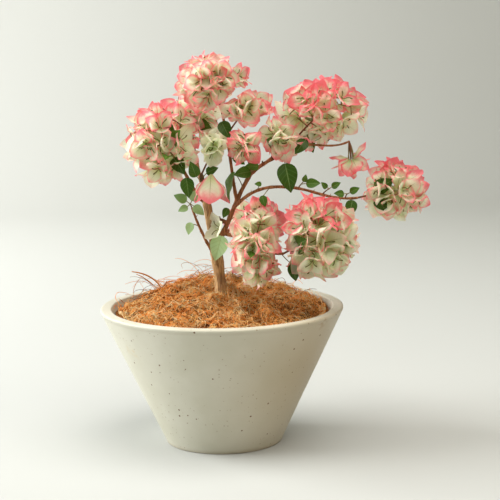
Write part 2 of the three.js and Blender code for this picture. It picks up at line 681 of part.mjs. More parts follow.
// Points on every sprig and loose head, which the masses grow round.
const sprigPoints = [
  ...SPRIGS.flatMap(sprigLeaves).flatMap(({ from, blade }) => [
    ...STALK_CHECKS.map((t) => between(from, blade.base, t)),
    ...samplesOf(blade),
  ]),
  ...LOOSE_HEADS.flatMap((head) => looseHead(head).bracts).flatMap(samplesOf),
];

function potProfile() {
  const slope = (RIM_RADIUS - BASE_RADIUS) / POT_HEIGHT;
  const outer = (z) => BASE_RADIUS + slope * z;
  const shoulder = POT_HEIGHT - EDGE_ROUND;
  return [
    [0, 0],
    [BASE_RADIUS - EDGE_ROUND, 0],
    [outer(EDGE_ROUND), EDGE_ROUND],
    [outer(shoulder), shoulder],
    [RIM_RADIUS - EDGE_ROUND, POT_HEIGHT],
    [RIM_RADIUS - WALL + EDGE_ROUND, POT_HEIGHT],
    [outer(shoulder) - WALL, shoulder],
    [outer(FLOOR) - WALL, FLOOR],
    [0, FLOOR],
  ];
}

// Inside radius left for the filling, clear of the flats between the wall's corners.
function fillRadius(z) {
  const wall = BASE_RADIUS + ((RIM_RADIUS - BASE_RADIUS) * z) / POT_HEIGHT - WALL;
  return wall * Math.cos(Math.PI / POT_SEGMENTS) - GAP;
}

function soilGeometry() {
  const bottom = FLOOR + GAP;
  return lathe([[0, bottom], [fillRadius(bottom), bottom], [fillRadius(SOIL_TOP), SOIL_TOP], [0, SOIL_TOP]], POT_SEGMENTS);
}

// The mound is a stack of rings: its foot, its edge, then rings of the surface up to the middle.
function mulchSolid() {
  const bottom = SOIL_TOP + GAP;
  const points = [];
  const ring = (radius, height) => {
    for (let k = 0; k < MULCH_SEGMENTS; k++) {
      const turn = (2 * Math.PI * k) / MULCH_SEGMENTS;
      const [x, y] = [radius * Math.cos(turn), radius * Math.sin(turn)];
      points.push([x, y, height(x, y)]);
    }
  };
  ring(fillRadius(bottom), () => bottom);
  ring(fillRadius(MULCH_EDGE), () => MULCH_EDGE);
  for (let i = MULCH_RINGS - 1; i > 0; i--) ring((fillRadius(MULCH_EDGE) * i) / MULCH_RINGS, mulchTop);
  const faces = ringFaces(MULCH_RINGS + 1, MULCH_SEGMENTS);
  const lastRing = MULCH_RINGS * MULCH_SEGMENTS;
  const middle = points.length;
  points.push([0, 0, bottom], [0, 0, mulchTop(0, 0)]);
  for (let k = 0; k < MULCH_SEGMENTS; k++) {
    const next = (k + 1) % MULCH_SEGMENTS;
    faces.push([middle, next, k], [middle + 1, lastRing + k, lastRing + next]);
  }
  const socket = tube([[0, 0, TRUNK_FOOT - GAP], [0, 0, TRUNK_FOOT + SOCKET_DEPTH]], [TRUNK_SOCKET, TRUNK_SOCKET], 12);
  return largest(solidOf(points, faces).subtract(socket));
}

const LOOKS = {
  pot: { color: 0xe6e1d2, roughness: 0.55 },
  soil: { color: 0x3b2a1e, roughness: 1 },
  mulch: { color: 0xb06a33, roughness: 0.95 },
  bark: { color: 0x8a6444, roughness: 0.85 },
  blossom: { color: 0xf0a9a8, roughness: 0.6 },
  leaf: { color: 0x3f7a34, roughness: 0.5 },
};

const plant = new THREE.Group();

function place(name, geometry, look) {
  const mesh = new THREE.Mesh(geometry, new THREE.MeshStandardMaterial({ metalness: 0, ...LOOKS[look] }));
  mesh.name = name;
  plant.add(mesh);
}

place("pot", lathe(potProfile(), POT_SEGMENTS), "pot");
place("soil", soilGeometry(), "soil");
place("coir_mulch", geometryOf(mulchSolid()), "mulch");

for (const [name, limb] of Object.entries(LIMBS)) {
  const cut = (limb.parent ?? []).reduce((solid, parent) => solid.subtract(limbRoom(parent)), limbSolid(name));
  place(name, geometryOf(largest(cut)), "bark");
}

MASSES.forEach((mass, index) => place(mass.name, geometryOf(massSolid(mass, index)), "blossom"));
for (const sprig of SPRIGS) place(sprig.name, geometryOf(sprigSolid(sprig)), "leaf");
for (const bloom of LOOSE_HEADS) place(bloom.name, geometryOf(rooted([headSolid(looseHead(bloom))], bloom.limb)), "blossom");

export default plant;
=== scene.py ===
import math

import bpy
import numpy as np
from mathutils import Matrix


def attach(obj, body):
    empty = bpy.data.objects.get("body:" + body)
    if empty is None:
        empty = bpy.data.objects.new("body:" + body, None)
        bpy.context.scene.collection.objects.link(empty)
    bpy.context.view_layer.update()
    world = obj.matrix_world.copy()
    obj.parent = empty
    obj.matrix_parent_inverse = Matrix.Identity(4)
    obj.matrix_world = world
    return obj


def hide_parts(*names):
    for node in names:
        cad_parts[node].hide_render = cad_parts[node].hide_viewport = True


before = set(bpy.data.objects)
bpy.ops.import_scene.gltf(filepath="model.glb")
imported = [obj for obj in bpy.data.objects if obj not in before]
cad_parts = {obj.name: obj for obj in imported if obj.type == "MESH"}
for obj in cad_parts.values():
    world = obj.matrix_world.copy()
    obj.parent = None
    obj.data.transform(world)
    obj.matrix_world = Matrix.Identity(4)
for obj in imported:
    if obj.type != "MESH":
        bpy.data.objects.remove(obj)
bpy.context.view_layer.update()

MM = 0.001
TURN = 2 * math.pi

# Pot
RIM_RADIUS = 150
BASE_RADIUS = 71
POT_HEIGHT = 168.5
WALL = 13.8
FLOOR = 16
LIP_ROUND = 2.2
FOOT_ROUND = 2.4
POT_SIDES = 224

# Filling
GAP = 0.35
SOIL_TOP = 136
MULCH_EDGE = 158
MOUND_RISE = 29
MOUND_LEAN = 0.2
MOUND_BACK = (-0.33, 0.94)
TRUNK_FOOT = 183
FLARE_SHARE = 1 / 7

# Lumps of the mound: height, a wave number each way and a shift. Tufts of its fibre: height, length and seed.
LUMPS = ((2.2, 0.071, 0.083, 1.3), (1.4, 0.13, 0.11, 0))
TUFTS = ((2.0, 42, 31), (1.8, 19, 32), (1.5, 8, 33))

# The fibre lies a little lower than a full mound, most of all beside the rim at the left, and hugs the trunk.
SETTLED = 6.5
DIP = 10
DIP_PLACE = (-108, 52)
DIP_WIDTH = 60
HUG = 6
HUG_WIDTH = 20
CORE_DEPTH = 1.6
TRUNK_ROOM = 7.5

# Foliage, by the same rule and seeds as the solids
SEED = 4100
MASS_SEED_STEP = 101
LEAF_SEED_STEP = 50
HEAD_SEED_STEP = 7
SIZE_SEED_STEP = 4
FINE_SEED = 60000
GOLDEN_ANGLE = math.pi * (3 - math.sqrt(5))
SECTOR = 1.7
BRACT_FOOT_ANGLE = (0.85, 1.2)
BRACT_TIP_ANGLE = (0.15, 0.7)
LEAF_ARCH = (-0.3, 0.3)
LEAF_BACK = (0, 1, -0.35)
LEAF_TRIES = 14
LEAF_LEAN = (0.5, 0.7, 0.7)
LEAF_STALK = (7, 20)
LEAF_SHARE = (0.6, 0.95)
HUB_RADIUS = 1.3
HEAD_HINT = np.array((0.31, 0.23, 0.92))
HEAD_TRIES = 20
HEAD_SIZE = (0.88, 1.14)
SIZE_LOSS = 0.01
BRACT_LOSS = 0.06
AXIS_JITTER = 0.7
LEAST_FACING = 0.2
TURN_JITTER = 0.6
HEAD_SPREAD = 21
HEAD_RISE = (14, 24)
LEAST_REACH = 0.12
HEAD_REACH = 55
START_CHOICES = 8
TWIG_RADIUS = 1.0
STEM_SHARE = 0.85
STEM_POINTS = 8
TWIG_POINTS = (0.3, 0.7)
TWIG_CHECKS = (0.3, 0.5, 0.7, 0.9)
STALK_CHECKS = (0.25, 0.5, 0.75, 1)

# Room kept between things that grow. The fine heads come after the others and may stand closer.
LIMB_CLEARANCE = 1.0
BLADE_CLEARANCE = 4.5
BLADE_SPACING = 3.2
FINE_SPACING = 1.3
LEAF_SPACING = 4
TWIG_SPACING = 2.4
SPACE_MARGIN = 0.03
NEARBY_SPACE = 1.3
ABOVE_RIM = 4
ABOVE_MULCH = 5
LIMB_STEPS = 8
FINE_SITES = 2.2
FINE_TRIES = 8
FINE_EDGE = 0.95
FINE_LOBES = 0.12
LOBE_LENGTH = 55
NEAR_LIMBS = 25

# Passes over the sites: the least bracts that a head must have, and its scale
PASSES = ((3, 1), (3, 0.75), (2, 0.75))
FINE_PASSES = ((3, 0.95), (3, 0.8), (2, 0.8), (2, 0.65))

BRACT = {
    "long": 36, "width": 33, "cup": 0.24, "rows": 12, "columns": 8,
    "shape": lambda u: (u / 0.4) ** 0.5 * ((1 - u) / 0.6) ** 0.75,
}
LEAF = {
    "long": 35, "width": 23, "cup": 0.16, "rows": 12, "columns": 8,
    "shape": lambda u: (u / 0.34) ** 0.6 * ((1 - u) / 0.66) ** 1.1,
}

# The pattern sheet has this many cells each way, one for each shade of bract or leaf.
ATLAS = 4
ATLAS_MARGIN = 0.03

# Radii of twigs at foot and tip
STEM_RADII = (1.3, 0.9)
SHOOT_RADII = (0.9, 0.7)
HEAD_RADII = (0.85, 0.6)
LEAF_RADII = (0.62, 0.5)

# A true flower from foot to mouth: shares of its bract's length, and radii. Some are open as a star.
TUBE_SHARES = np.array((0.02, 0.14, 0.26, 0.38, 0.48, 0.53, 0.565))
TUBE_RADII = np.array((0.45, 0.55, 0.62, 0.66, 0.85, 0.8, 0.15))
OPEN_SHARE = 0.11
STAR_RADIUS = 3.4


def limb(first, last, *line, **more):
    """A limb by the radius at its first and last end and the four points that lead its curve."""
    plain = {"steps": LIMB_STEPS, "thorns": 0, "taper": 1, "flare": 0}
    return {"first": first, "last": last, "line": line, **plain, **more}


LIMBS = {
    "trunk": limb(
        6.6, 2.5, (0, 0, TRUNK_FOOT), (-4, 1, 236), (-14, -8, 278), (-22, -11, 331),
        steps=14, taper=2.5, flare=2.6,
    ),
    "left_bough": limb(2.6, 1.8, (-19, -9, 298), (-32, -11, 308), (-36, -12, 326), (-46, -16, 341)),
    "leader": limb(3.2, 2.3, (-9, -4, 247), (9, -7, 257), (10, -9, 288), (40, -8, 335), steps=12),
    "cross_stub": limb(2.9, 2.5, (-14, -7, 276), (-6, -8, 278), (2, -8, 274), (10, -8, 271), steps=4),
    "right_bough": limb(2.2, 1.7, (39.5, -8, 334.5), (52, -5, 343), (72, -4, 350), (88, 0, 365), thorns=6),
    "upright_bough": limb(2.1, 1.5, (20, -9, 299), (14, -9, 330), (14, -2, 358), (5, 2, 401), thorns=3),
    "arching_branch_inner": limb(
        2.0, 1.7, (16, -9, 289), (34, -18, 312), (55, -22, 319), (84, -24, 315.5), thorns=7,
    ),
    "arching_branch_outer": limb(
        1.7, 1.4, (83.5, -24, 315.6), (112, -24, 313), (132, -18, 297), (166, -16, 300.5), thorns=7,
    ),
    "lower_bough": limb(2.2, 1.6, (1, -6, 258), (24, -26, 262), (44, -46, 238), (74, -54, 240), thorns=4),
    "hanging_shoot": limb(1.5, 1.1, (83, -1, 360), (108, -8, 372), (132, -8, 356), (157, -5, 368)),
    "left_shoot": limb(1.9, 1.3, (-6, -2, 227), (-19, -8, 250), (-28, -15, 272), (-34, -18, 292), thorns=3),
    "back_left_bough": limb(
        2.8, 1.6, (-15, -7, 285), (-18, 18, 300), (-28, 36, 335), (-33, 52, 371), thorns=3,
    ),
    "back_right_bough": limb(2.0, 1.5, (35, -8, 328), (50, 8, 340), (76, 30, 352), (98, 50, 371), thorns=4),
    "back_lower_bough": limb(2.6, 1.6, (-8, -4, 244), (2, 14, 252), (8, 30, 262), (26, 44, 258), thorns=2),
}


# A mass fills an ellipsoid and hangs on a place of its limb. Tint runs from 0 for cream bracts to 1 for pink
# ones, and rise is how much pinker a mass is at its top. In a dense mass more fine heads are tried, and in a
# fan all of them hang from its root.
MASS_VALUES = ("name", "centre", "radii", "limb", "at", "heads", "leaves", "tint", "rise")


def mass(*values, **more):
    return {**dict(zip(MASS_VALUES, values)), "lean": (0, 0, 0), "dense": 1, "fan": False, **more}


MASSES = (
    mass("blossom_top", (-7, 0, 442), (54, 42, 41), "upright_bough", 1, 34, 2, 0.46, 0.4),
    mass("blossom_left", (-66, -15, 369), (55, 43, 56), "left_bough", 1, 46, 4, 0.44, 0.28),
    mass("blossom_mid_upper", (34, -10, 410), (40, 34, 30), "upright_bough", 0.8, 20, 1, 0.54, 0.15),
    mass("blossom_mid_front", (31, -28, 368), (28, 28, 31), "leader", 0.97, 14, 1, 0.68, 0.0),
    mass("blossom_mid_right", (70, -18, 376), (36, 34, 35), "right_bough", 0.5, 20, 1, 0.54, 0.35),
    mass("blossom_upper_right", (125, 4, 404), (65, 44, 47), "right_bough", 1, 44, 2, 0.57, 0.4),
    mass(
        "blossom_hanging", (160, -5, 343), (29, 27, 29), "hanging_shoot", 1, 11, 0, 0.68, -0.2,
        lean=(0, 0, -1), fan=True,
    ),
    mass("blossom_far_right", (210, -10, 308), (49, 39, 44), "arching_branch_outer", 1, 32, 2, 0.48, 0.5),
    mass(
        "blossom_lower_left", (43, -54, 250), (38, 37, 54), "lower_bough", 0.5, 28, 2, 0.43, 0.25,
        dense=1.5,
    ),
    mass(
        "blossom_lower_right", (116, -60, 260), (55, 45, 57), "lower_bough", 1, 40, 4, 0.47, 0.5,
        dense=1.5,
    ),
    mass("blossom_centre", (-6, -20, 366), (28, 28, 30), "trunk", 1, 14, 1, 0.16, 0.1),
    mass("blossom_back_left", (-36, 60, 392), (47, 38, 42), "back_left_bough", 1, 17, 4, 0.58, 0.25),
    mass("blossom_back_right", (106, 66, 384), (48, 37, 40), "back_right_bough", 1, 17, 4, 0.58, 0.25),
    mass("blossom_back_lower", (46, 58, 260), (46, 38, 42), "back_lower_bough", 1, 17, 4, 0.55, 0.25),
)


# Leaves that stand alone, each by its foot and tip. Their stalks start at the limb, or at a knot where a
# short shoot ends. Tone runs from 0 for the darkest leaves to 1 for pale grey-green ones.
def sprig(name, limb, at, tone, *leaves, knot=None, back=LEAF_BACK):
    return {"name": name, "limb": limb, "at": at, "tone": tone, "leaves": leaves, "knot": knot, "back": back}


SPRIGS = (
    sprig("leaf_left_dark", "left_bough", 0.5, 0.05, ((-40, -29, 330), (-37, -33, 305))),
    sprig("leaf_trunk_tip_left", "trunk", 0.93, 0.15, ((-28, -25, 330), (-35, -30, 350))),
    sprig("leaf_trunk_tip_right", "trunk", 0.97, 0.1, ((-16, -19, 334), (-1, -25, 341))),
    sprig("leaf_on_trunk", "trunk", 0.53, 0.95, ((1, -20, 258), (-8, -27, 227))),
    sprig("leaf_left_shoot_low", "left_shoot", 0.62, 0.95, ((-36, -22, 275), (-39, -26, 260))),
    sprig(
        "leaves_left_shoot", "left_shoot", 1, 0.7, ((-40, -22, 301), (-56, -24, 309)),
        ((-34, -23, 301), (-27, -27, 316)), ((-39, -23, 294), (-51, -27, 289)),
        ((-32, -24, 295), (-19, -28, 284)), knot=(-36, -20, 297),
    ),
    sprig("leaf_tall", "leader", 0.84, 0.55, ((18, -19, 335), (11, -20, 297)), back=(1, 0.3, 0)),
    sprig(
        "leaves_fork", "leader", 0.93, 0.3, ((37, -21, 335), (16, -30, 332)),
        ((47, -20, 341), (30, -25, 342)), knot=(40, -17, 336),
    ),
    sprig("leaf_fork_low", "leader", 0.5, 0.15, ((9, -17, 291), (3, -21, 279))),
    sprig("leaf_upright_bough", "upright_bough", 0.86, 0.1, ((3, -13, 395), (13, -20, 374))),
    sprig("leaf_upright_low", "upright_bough", 0.52, 0.2, ((17, -6, 353), (31, -8, 342))),
    sprig("leaf_big_hanging", "right_bough", 0.74, 0.05, ((78, -27, 345), (85, -34, 309))),
    sprig("leaf_right_bough", "hanging_shoot", 0.45, 0.15, ((104, -19, 372), (90, -26, 355))),
    sprig("leaf_arch_rising", "arching_branch_inner", 0.48, 0.4, ((50, -26, 320), (41, -29, 321))),
    sprig("leaf_arch_under", "arching_branch_inner", 0.7, 0.35, ((50, -30, 307), (54, -33, 293))),
    sprig(
        "leaves_arch_crest", "arching_branch_outer", 0.12, 0.3, ((101, -28, 322), (103, -31, 332)),
        ((103, -29, 320), (121, -32, 321)), knot=(97, -26, 319),
    ),
    sprig(
        "leaves_arch_middle", "arching_branch_outer", 0.5, 0.3, ((128, -27, 314), (121, -30, 322)),
        ((134, -26, 315), (145, -29, 321)), knot=(131, -24, 313),
    ),
    sprig(
        "leaves_arch_outer", "arching_branch_outer", 0.84, 0.25, ((149, -24, 306), (136, -28, 308)),
        ((156, -23, 308), (168, -26, 314)), knot=(153, -21, 306),
    ),
    sprig("leaf_arch_hanging", "arching_branch_outer", 0.9, 0.05, ((159, -24, 299), (154, -29, 278))),
    sprig("leaf_lower_bough", "lower_bough", 0.97, 0.05, ((84, -64, 230), (88, -68, 208))),
)

LOOSE_HEADS = (
    dict(
        name="bloom_drooping", limb="trunk", at=0.91, site=(-10, -31, 334), way=(-0.05, -0.1, -1),
        roll=2.1, size=1.15, open=(0.8, 0.15), tint=0.78,
    ),
    dict(
        name="bloom_pale", limb="cross_stub", at=0.6, site=(0, -19, 266), way=(-0.8, -0.45, 0.25),
        roll=0.4, size=0.62, open=(1.1, 0.7), tint=0.0,
    ),
)


# Vectors

def vec(*numbers):
    return np.array(numbers, float)


def length(a):
    return math.sqrt(float(a @ a))


def unit(a):
    return a / length(a)


def mix(a, b, t):
    return a + (b - a) * t


def apart(points, place):
    """Distance of each point from one place."""
    return np.sqrt(((points - place) ** 2).sum(-1))


def across(direction, hint):
    """A perpendicular pair for a direction: the part of hint across it, and what completes the set."""
    out = unit(hint - direction * float(hint @ direction))
    return out, np.cross(direction, out)


def turned(pair, angle):
    return pair[0] * math.cos(angle) + pair[1] * math.sin(angle)


def rows_to_unit(a):
    return a / np.maximum(np.sqrt((a * a).sum(-1, keepdims=True)), 1e-9)


# A small repeatable random source: the same seed always gives the same draws from 0 to 1.
WORD = 0xFFFFFFFF


def seeded(seed):
    state = seed & WORD

    def draw():
        nonlocal state
        state = (state + 0x6D2B79F5) & WORD
        t = state
        t = ((t ^ (t >> 15)) * (t | 1)) & WORD
        t ^= (t + (((t ^ (t >> 7)) * (t | 61)) & WORD)) & WORD
        return ((t ^ (t >> 14)) & WORD) / 4294967296

    return draw


def waves(points, wavelength, seed, count=14):
    """Smooth repeatable noise of about -1 to 1 at points in any number of dimensions."""
    source = np.random.default_rng(seed)
    size = points.shape[-1]
    ways = rows_to_unit(source.normal(size=(count, size))) * TURN / wavelength
    ways *= source.uniform(0.6, 1.6, (count, 1))
    shifts = source.uniform(0, TURN, count)
    total = np.zeros(points.shape[:-1])
    for way, shift in zip(ways, shifts):
        total += np.sin(points @ way + shift)
    return total / math.sqrt(count)


# Limbs

def bezier(line, t):
    line = np.asarray(line, float)
    s = 1 - t
    weights = np.stack([s * s * s, 3 * s * s * t, 3 * s * t * t, t * t * t], -1)
    return weights @ line


def limb_radii(limb, t):
    flare = limb["flare"] * np.maximum(0, 1 - t / FLARE_SHARE) ** 2
    return mix(limb["first"], limb["last"], t ** limb["taper"]) + flare


def limb_point(limb, at):
    return bezier(LIMBS[limb]["line"], np.array(float(at)))


def limb_pieces():
    """The straight pieces of every limb: start, run and the radius at each end."""
    starts, runs, first, last = [], [], [], []
    for limb in LIMBS.values():
        t = np.linspace(0, 1, limb["steps"] + 1)
        points, radii = bezier(limb["line"], t), limb_radii(limb, t)
        starts.append(points[:-1])
        runs.append(points[1:] - points[:-1])
        first.append(radii[:-1])
        last.append(radii[1:])
    return [np.concatenate(part) for part in (starts, runs, first, last)]


PIECES = limb_pieces()


def touches_limb(points, clearance, near):
    """Which points lie within the clearance of the limb pieces that are near."""
    starts, runs, first, last = (part[near] for part in PIECES)
    if not len(starts):
        return np.zeros(len(points), bool)
    offset = points[:, None] - starts
    t = np.clip((offset * runs).sum(-1) / (runs * runs).sum(-1), 0, 1)
    distance = np.sqrt(((offset - runs * t[..., None]) ** 2).sum(-1))
    return (distance < mix(first, last, t) + clearance).any(1)


# Room

CENTRES = np.array([m["centre"] for m in MASSES], float)
RADII = np.array([m["radii"] for m in MASSES], float)


def depths(points):
    """How far out each point is in each mass: 0 at its centre, 1 at the edge of its space."""
    return np.sqrt((((points[:, None] - CENTRES) / RADII) ** 2).sum(-1))


def in_space(index, points, edge=1.0):
    """Which points lie in a mass out to a share of its radii, and deeper in it than in any other mass."""
    deep = depths(points)
    own = deep[:, index] / edge
    others = np.delete(deep, index, axis=1)
    return (own <= 1) & (others > own[:, None] + SPACE_MARGIN).all(1)


def mulch_top(x, y):
    reach = np.hypot(x, y) / (RIM_RADIUS - WALL)
    dome = np.sqrt(np.maximum(0, 1 - reach * reach))
    lean = MOUND_LEAN * (x * MOUND_BACK[0] + y * MOUND_BACK[1])
    lumps = 0
    for height, along, other, shift in LUMPS:
        lumps = lumps + height * np.sin(x * along + shift) * np.cos(y * other)
    return MULCH_EDGE + dome * (MOUND_RISE + lean + lumps)


def above_mulch(points):
    top = mulch_top(points[:, 0], points[:, 1]) + ABOVE_MULCH
    return points[:, 2] > np.maximum(POT_HEIGHT + ABOVE_RIM, top)


# Blades. A blade is a bract or a leaf. It leans from its axis towards out, by one angle at its foot and
# another at its tip.

class Blade:
    def __init__(self, kind, base, axis, out, size, opening):
        self.kind, self.base, self.axis, self.out = kind, base, axis, out
        self.side = np.cross(axis, out)
        self.size, self.open = size, opening

    def inner_way(self, u):
        angle = mix(self.open[0], self.open[1], u)[..., None]
        return self.axis * np.sin(angle) - self.out * np.cos(angle)

    def points(self, u, v):
        kind, size, start = self.kind, self.size, self.open[0]
        bend = self.open[1] - start
        angle = start + bend * u
        rise = (np.sin(angle) - math.sin(start)) / bend * kind["long"] * size
        spread = (math.cos(start) - np.cos(angle)) / bend * kind["long"] * size
        half = kind["width"] / 2 * size * kind["shape"](u)
        if kind is BRACT:
            room = SECTOR * (HUB_RADIUS / 2 + spread) / (1 + SECTOR * kind["cup"] * np.cos(angle))
            half = np.minimum(half, room)
        midrib = self.base + self.axis * rise[..., None] + self.out * spread[..., None]
        fold = self.inner_way(u) * (kind["cup"] * half * v * v)[..., None]
        return midrib + self.side * (half * v)[..., None] + fold


# Where a blade is tested for room: shares along it, and shares across it from the midrib
SAMPLE_SHARES = ((0.26, 0.45, 0.64, 0.82, 1.0), (-1, -0.5, 0, 0.5, 1))
SAMPLE_U, SAMPLE_V = (a.ravel() for a in np.meshgrid(*SAMPLE_SHARES, indexing="ij"))


def samples_of(blade):
    return blade.points(SAMPLE_U, SAMPLE_V)


def nearest(points, taken):
    """Distance of each point from the closest taken one."""
    if not len(taken):
        return np.full(len(points), np.inf)
    squares = (points * points).sum(1)[:, None] + (taken * taken).sum(1) - 2 * points @ taken.T
    return np.sqrt(np.maximum(squares.min(1), 0))


def leaf_to(start, foot, tip, back=LEAF_BACK):
    axis = unit(tip - foot)
    out = across(axis, vec(*back))[0]
    size = length(tip - foot) / LEAF["long"]
    return {"from": start, "blade": Blade(LEAF, foot, axis, out, size, LEAF_ARCH)}


def bracts_round(site, axis, roll, sizes, opening):
    pair = across(axis, HEAD_HINT)
    blades = []
    for k, size in enumerate(sizes):
        out = turned(pair, roll + TURN * k / 3)
        blades.append(Blade(BRACT, site + out * HUB_RADIUS / 2, axis, out, size, opening))
    return blades


def grow_head(start, place, draw, allowed, taken, least, scale, spacing, tries):
    """One flower head. Its tilt, roll and spread are redrawn until enough of its bracts find room."""
    site = place["site"]
    way = unit(site - start)
    for attempt in range(tries):
        size = scale * mix(*HEAD_SIZE, draw()) * (1 - SIZE_LOSS * attempt)
        axis = unit(place["facing"] + vec(draw() - 0.5, draw() - 0.5, draw() - 0.5) * AXIS_JITTER)
        roll = draw() * TURN
        opening = (mix(*BRACT_FOOT_ANGLE, draw()), mix(*BRACT_TIP_ANGLE, draw()))
        if float(axis @ way) < LEAST_FACING:
            continue
        blades = bracts_round(site, axis, roll, [size * (1 - BRACT_LOSS * k) for k in range(3)], opening)
        points = np.concatenate([samples_of(b) for b in blades])
        good = allowed(points) & (nearest(points, taken) >= spacing)
        kept = [b for b, fits in zip(blades, good.reshape(3, -1).all(1)) if fits]
        if len(kept) >= least:
            return {"from": start, "site": site, "axis": axis, "bracts": kept}
    return None


def head_sites(mass, draw, count, lean):
    """Sites spread evenly over the ellipsoid, deep enough for the bracts to stay in it."""
    centre, radii = vec(*mass["centre"]), vec(*mass["radii"])
    sites = []
    for k in range(count):
        height = 1 - 2 * (k + 0.5) / count
        turn = k * GOLDEN_ANGLE + draw() * TURN_JITTER
        level = math.sqrt(1 - height * height)
        way = vec(level * math.cos(turn), level * math.sin(turn), height)
        radius = length(way * radii)
        reach = (math.sqrt(max(0, radius ** 2 - HEAD_SPREAD ** 2)) - mix(*HEAD_RISE, draw())) / radius
        site = centre + radii * way * max(reach, LEAST_REACH)
        facing = unit(unit(way / radii) + vec(*lean))
        sites.append({"site": site, "facing": facing})
    return sites


class Mass:
    """Everything that grows in one mass: its stem, leaves and flower heads."""

    def __init__(self, index, sprig_points):
        self.mass, self.index = MASSES[index], index
        self.seed = SEED + index * MASS_SEED_STEP
        self.root = limb_point(self.mass["limb"], self.mass["at"])
        self.stem_end = mix(self.root, CENTRES[index], STEM_SHARE)
        middles = PIECES[0] + PIECES[1] / 2
        self.near = apart(middles, CENTRES[index]) < RADII[index].max() + NEAR_LIMBS
        stem = np.array([mix(self.root, self.stem_end, (i + 1) / STEM_POINTS) for i in range(STEM_POINTS)])
        self.skeleton = stem[self.clear(stem)]
        self.blades = sprig_points[depths(sprig_points)[:, index] < NEARBY_SPACE]
        self.heads, self.leaves = [], []

    def allowed(self, points, edge=1.0):
        good = in_space(self.index, points, edge) & above_mulch(points)
        return good & ~touches_limb(points, BLADE_CLEARANCE, self.near)

    def allowed_fine(self, points):
        """The same room with a wavy edge, which breaks up the outline."""
        return self.allowed(points, FINE_EDGE + FINE_LOBES * waves(points, LOBE_LENGTH, self.seed))

    def clear(self, points):
        return in_space(self.index, points) & ~touches_limb(points, LIMB_CLEARANCE + TWIG_RADIUS, self.near)

    def twig_start(self, site):
        """The closest point grown so far from which a straight twig reaches the site and meets no blade."""
        distance = apart(self.skeleton, site)
        order = [i for i in np.argsort(distance, kind="stable") if distance[i] > 2 * TWIG_RADIUS]
        for i in order[:START_CHOICES]:
            path = np.array([mix(self.skeleton[i], site, t) for t in TWIG_CHECKS])
            if self.clear(path).all() and (nearest(path[1:], self.blades) >= TWIG_SPACING).all():
                return self.skeleton[i]
        return None

    def grow_heads(self, sites, least, scale, seed, allowed, spacing=BLADE_SPACING, tries=HEAD_TRIES):
        for k, place in enumerate(sites):
            if place.get("taken"):
                continue
            start = self.twig_start(place["site"])
            if start is None or not self.clear(place["site"][None])[0]:
                continue
            draw = seeded(seed + k * HEAD_SEED_STEP + least + round(scale * SIZE_SEED_STEP))
            around = np.concatenate([self.skeleton, self.blades])
            around = around[apart(around, place["site"]) < HEAD_REACH]
            head = grow_head(start, place, draw, allowed, around, least, scale, spacing, tries)
            if head is None:
                continue
            place["taken"] = True
            self.heads.append(head)
            self.skeleton = np.vstack([self.skeleton] + [mix(start, place["site"], t) for t in TWIG_POINTS])
            self.blades = np.vstack([self.blades] + [samples_of(b) for b in head["bracts"]])

    def grow_leaves(self, draw, count):
        for _ in range(count * LEAF_TRIES):
            if len(self.leaves) >= count:
                break
            start = self.skeleton[int(draw() * len(self.skeleton))]
            axis = unit(vec(*[draw() - lean for lean in LEAF_LEAN]))
            foot = start + axis * mix(*LEAF_STALK, draw())
            tip = foot + axis * LEAF["long"] * mix(*LEAF_SHARE, draw())
            leaf = leaf_to(start, foot, tip)
            points = samples_of(leaf["blade"])
            if not self.allowed(points).all() or (nearest(points, self.blades) < LEAF_SPACING).any():
                continue
            self.leaves.append(leaf)
            self.blades = np.vstack([self.blades, points])

    def sites(self, seed, count, lean):
        """Sites of heads, the nearest to the limb first."""
        sites = head_sites(self.mass, seeded(seed), count, lean)
        return sorted(sites, key=lambda place: length(place["site"] - self.root))

    def grow(self):
        lean, heads = vec(*self.mass["lean"]), self.mass["heads"]
        sites = self.sites(self.seed, heads, lean)
        self.grow_leaves(seeded(self.seed + LEAF_SEED_STEP), self.mass["leaves"])
        for least, scale in PASSES:
            self.grow_heads(sites, least, scale, self.seed, self.allowed)
        fine = FINE_SEED + self.seed
        sites = self.sites(fine, int(heads * FINE_SITES * self.mass["dense"]), 3 * lean)
        for least, scale in FINE_PASSES:
            self.grow_heads(sites, least, scale, fine, self.allowed_fine, FINE_SPACING, FINE_TRIES)
        return self


def sprig_leaves(sprig):
    start = limb_point(sprig["limb"], sprig["at"]) if sprig["knot"] is None else vec(*sprig["knot"])
    return [leaf_to(start, vec(*foot), vec(*tip), sprig["back"]) for foot, tip in sprig["leaves"]]


def loose_head(head):
    axis, site = unit(vec(*head["way"])), vec(*head["site"])
    bracts = bracts_round(site, axis, head["roll"], [head["size"]] * 3, head["open"])
    return {"from": limb_point(head["limb"], head["at"]), "site": site, "axis": axis, "bracts": bracts}


def sprig_samples():
    """Points on every sprig and loose head, which the masses grow round."""
    points = []
    for sprig in SPRIGS:
        for leaf in sprig_leaves(sprig):
            points += [mix(leaf["from"], leaf["blade"].base, t)[None] for t in STALK_CHECKS]
            points.append(samples_of(leaf["blade"]))
    for head in LOOSE_HEADS:
        points += [samples_of(b) for b in loose_head(head)["bracts"]]
    return np.concatenate(points)


# Meshes

def quads(index):
    """The four corners of every face, for grids whose last two dimensions are rows and columns."""
    corners = (index[..., :-1, :-1], index[..., :-1, 1:], index[..., 1:, 1:], index[..., 1:, :-1])
    return np.stack(corners, -1)


def sheet_places(x, y):
    """Places on the pattern sheet, for columns at x and rows at y."""
    return np.stack(np.meshgrid(x, y), -1)


def add_object(name, data):
    thing = bpy.data.objects.new(name, data)
    bpy.context.scene.collection.objects.link(thing)
    return thing


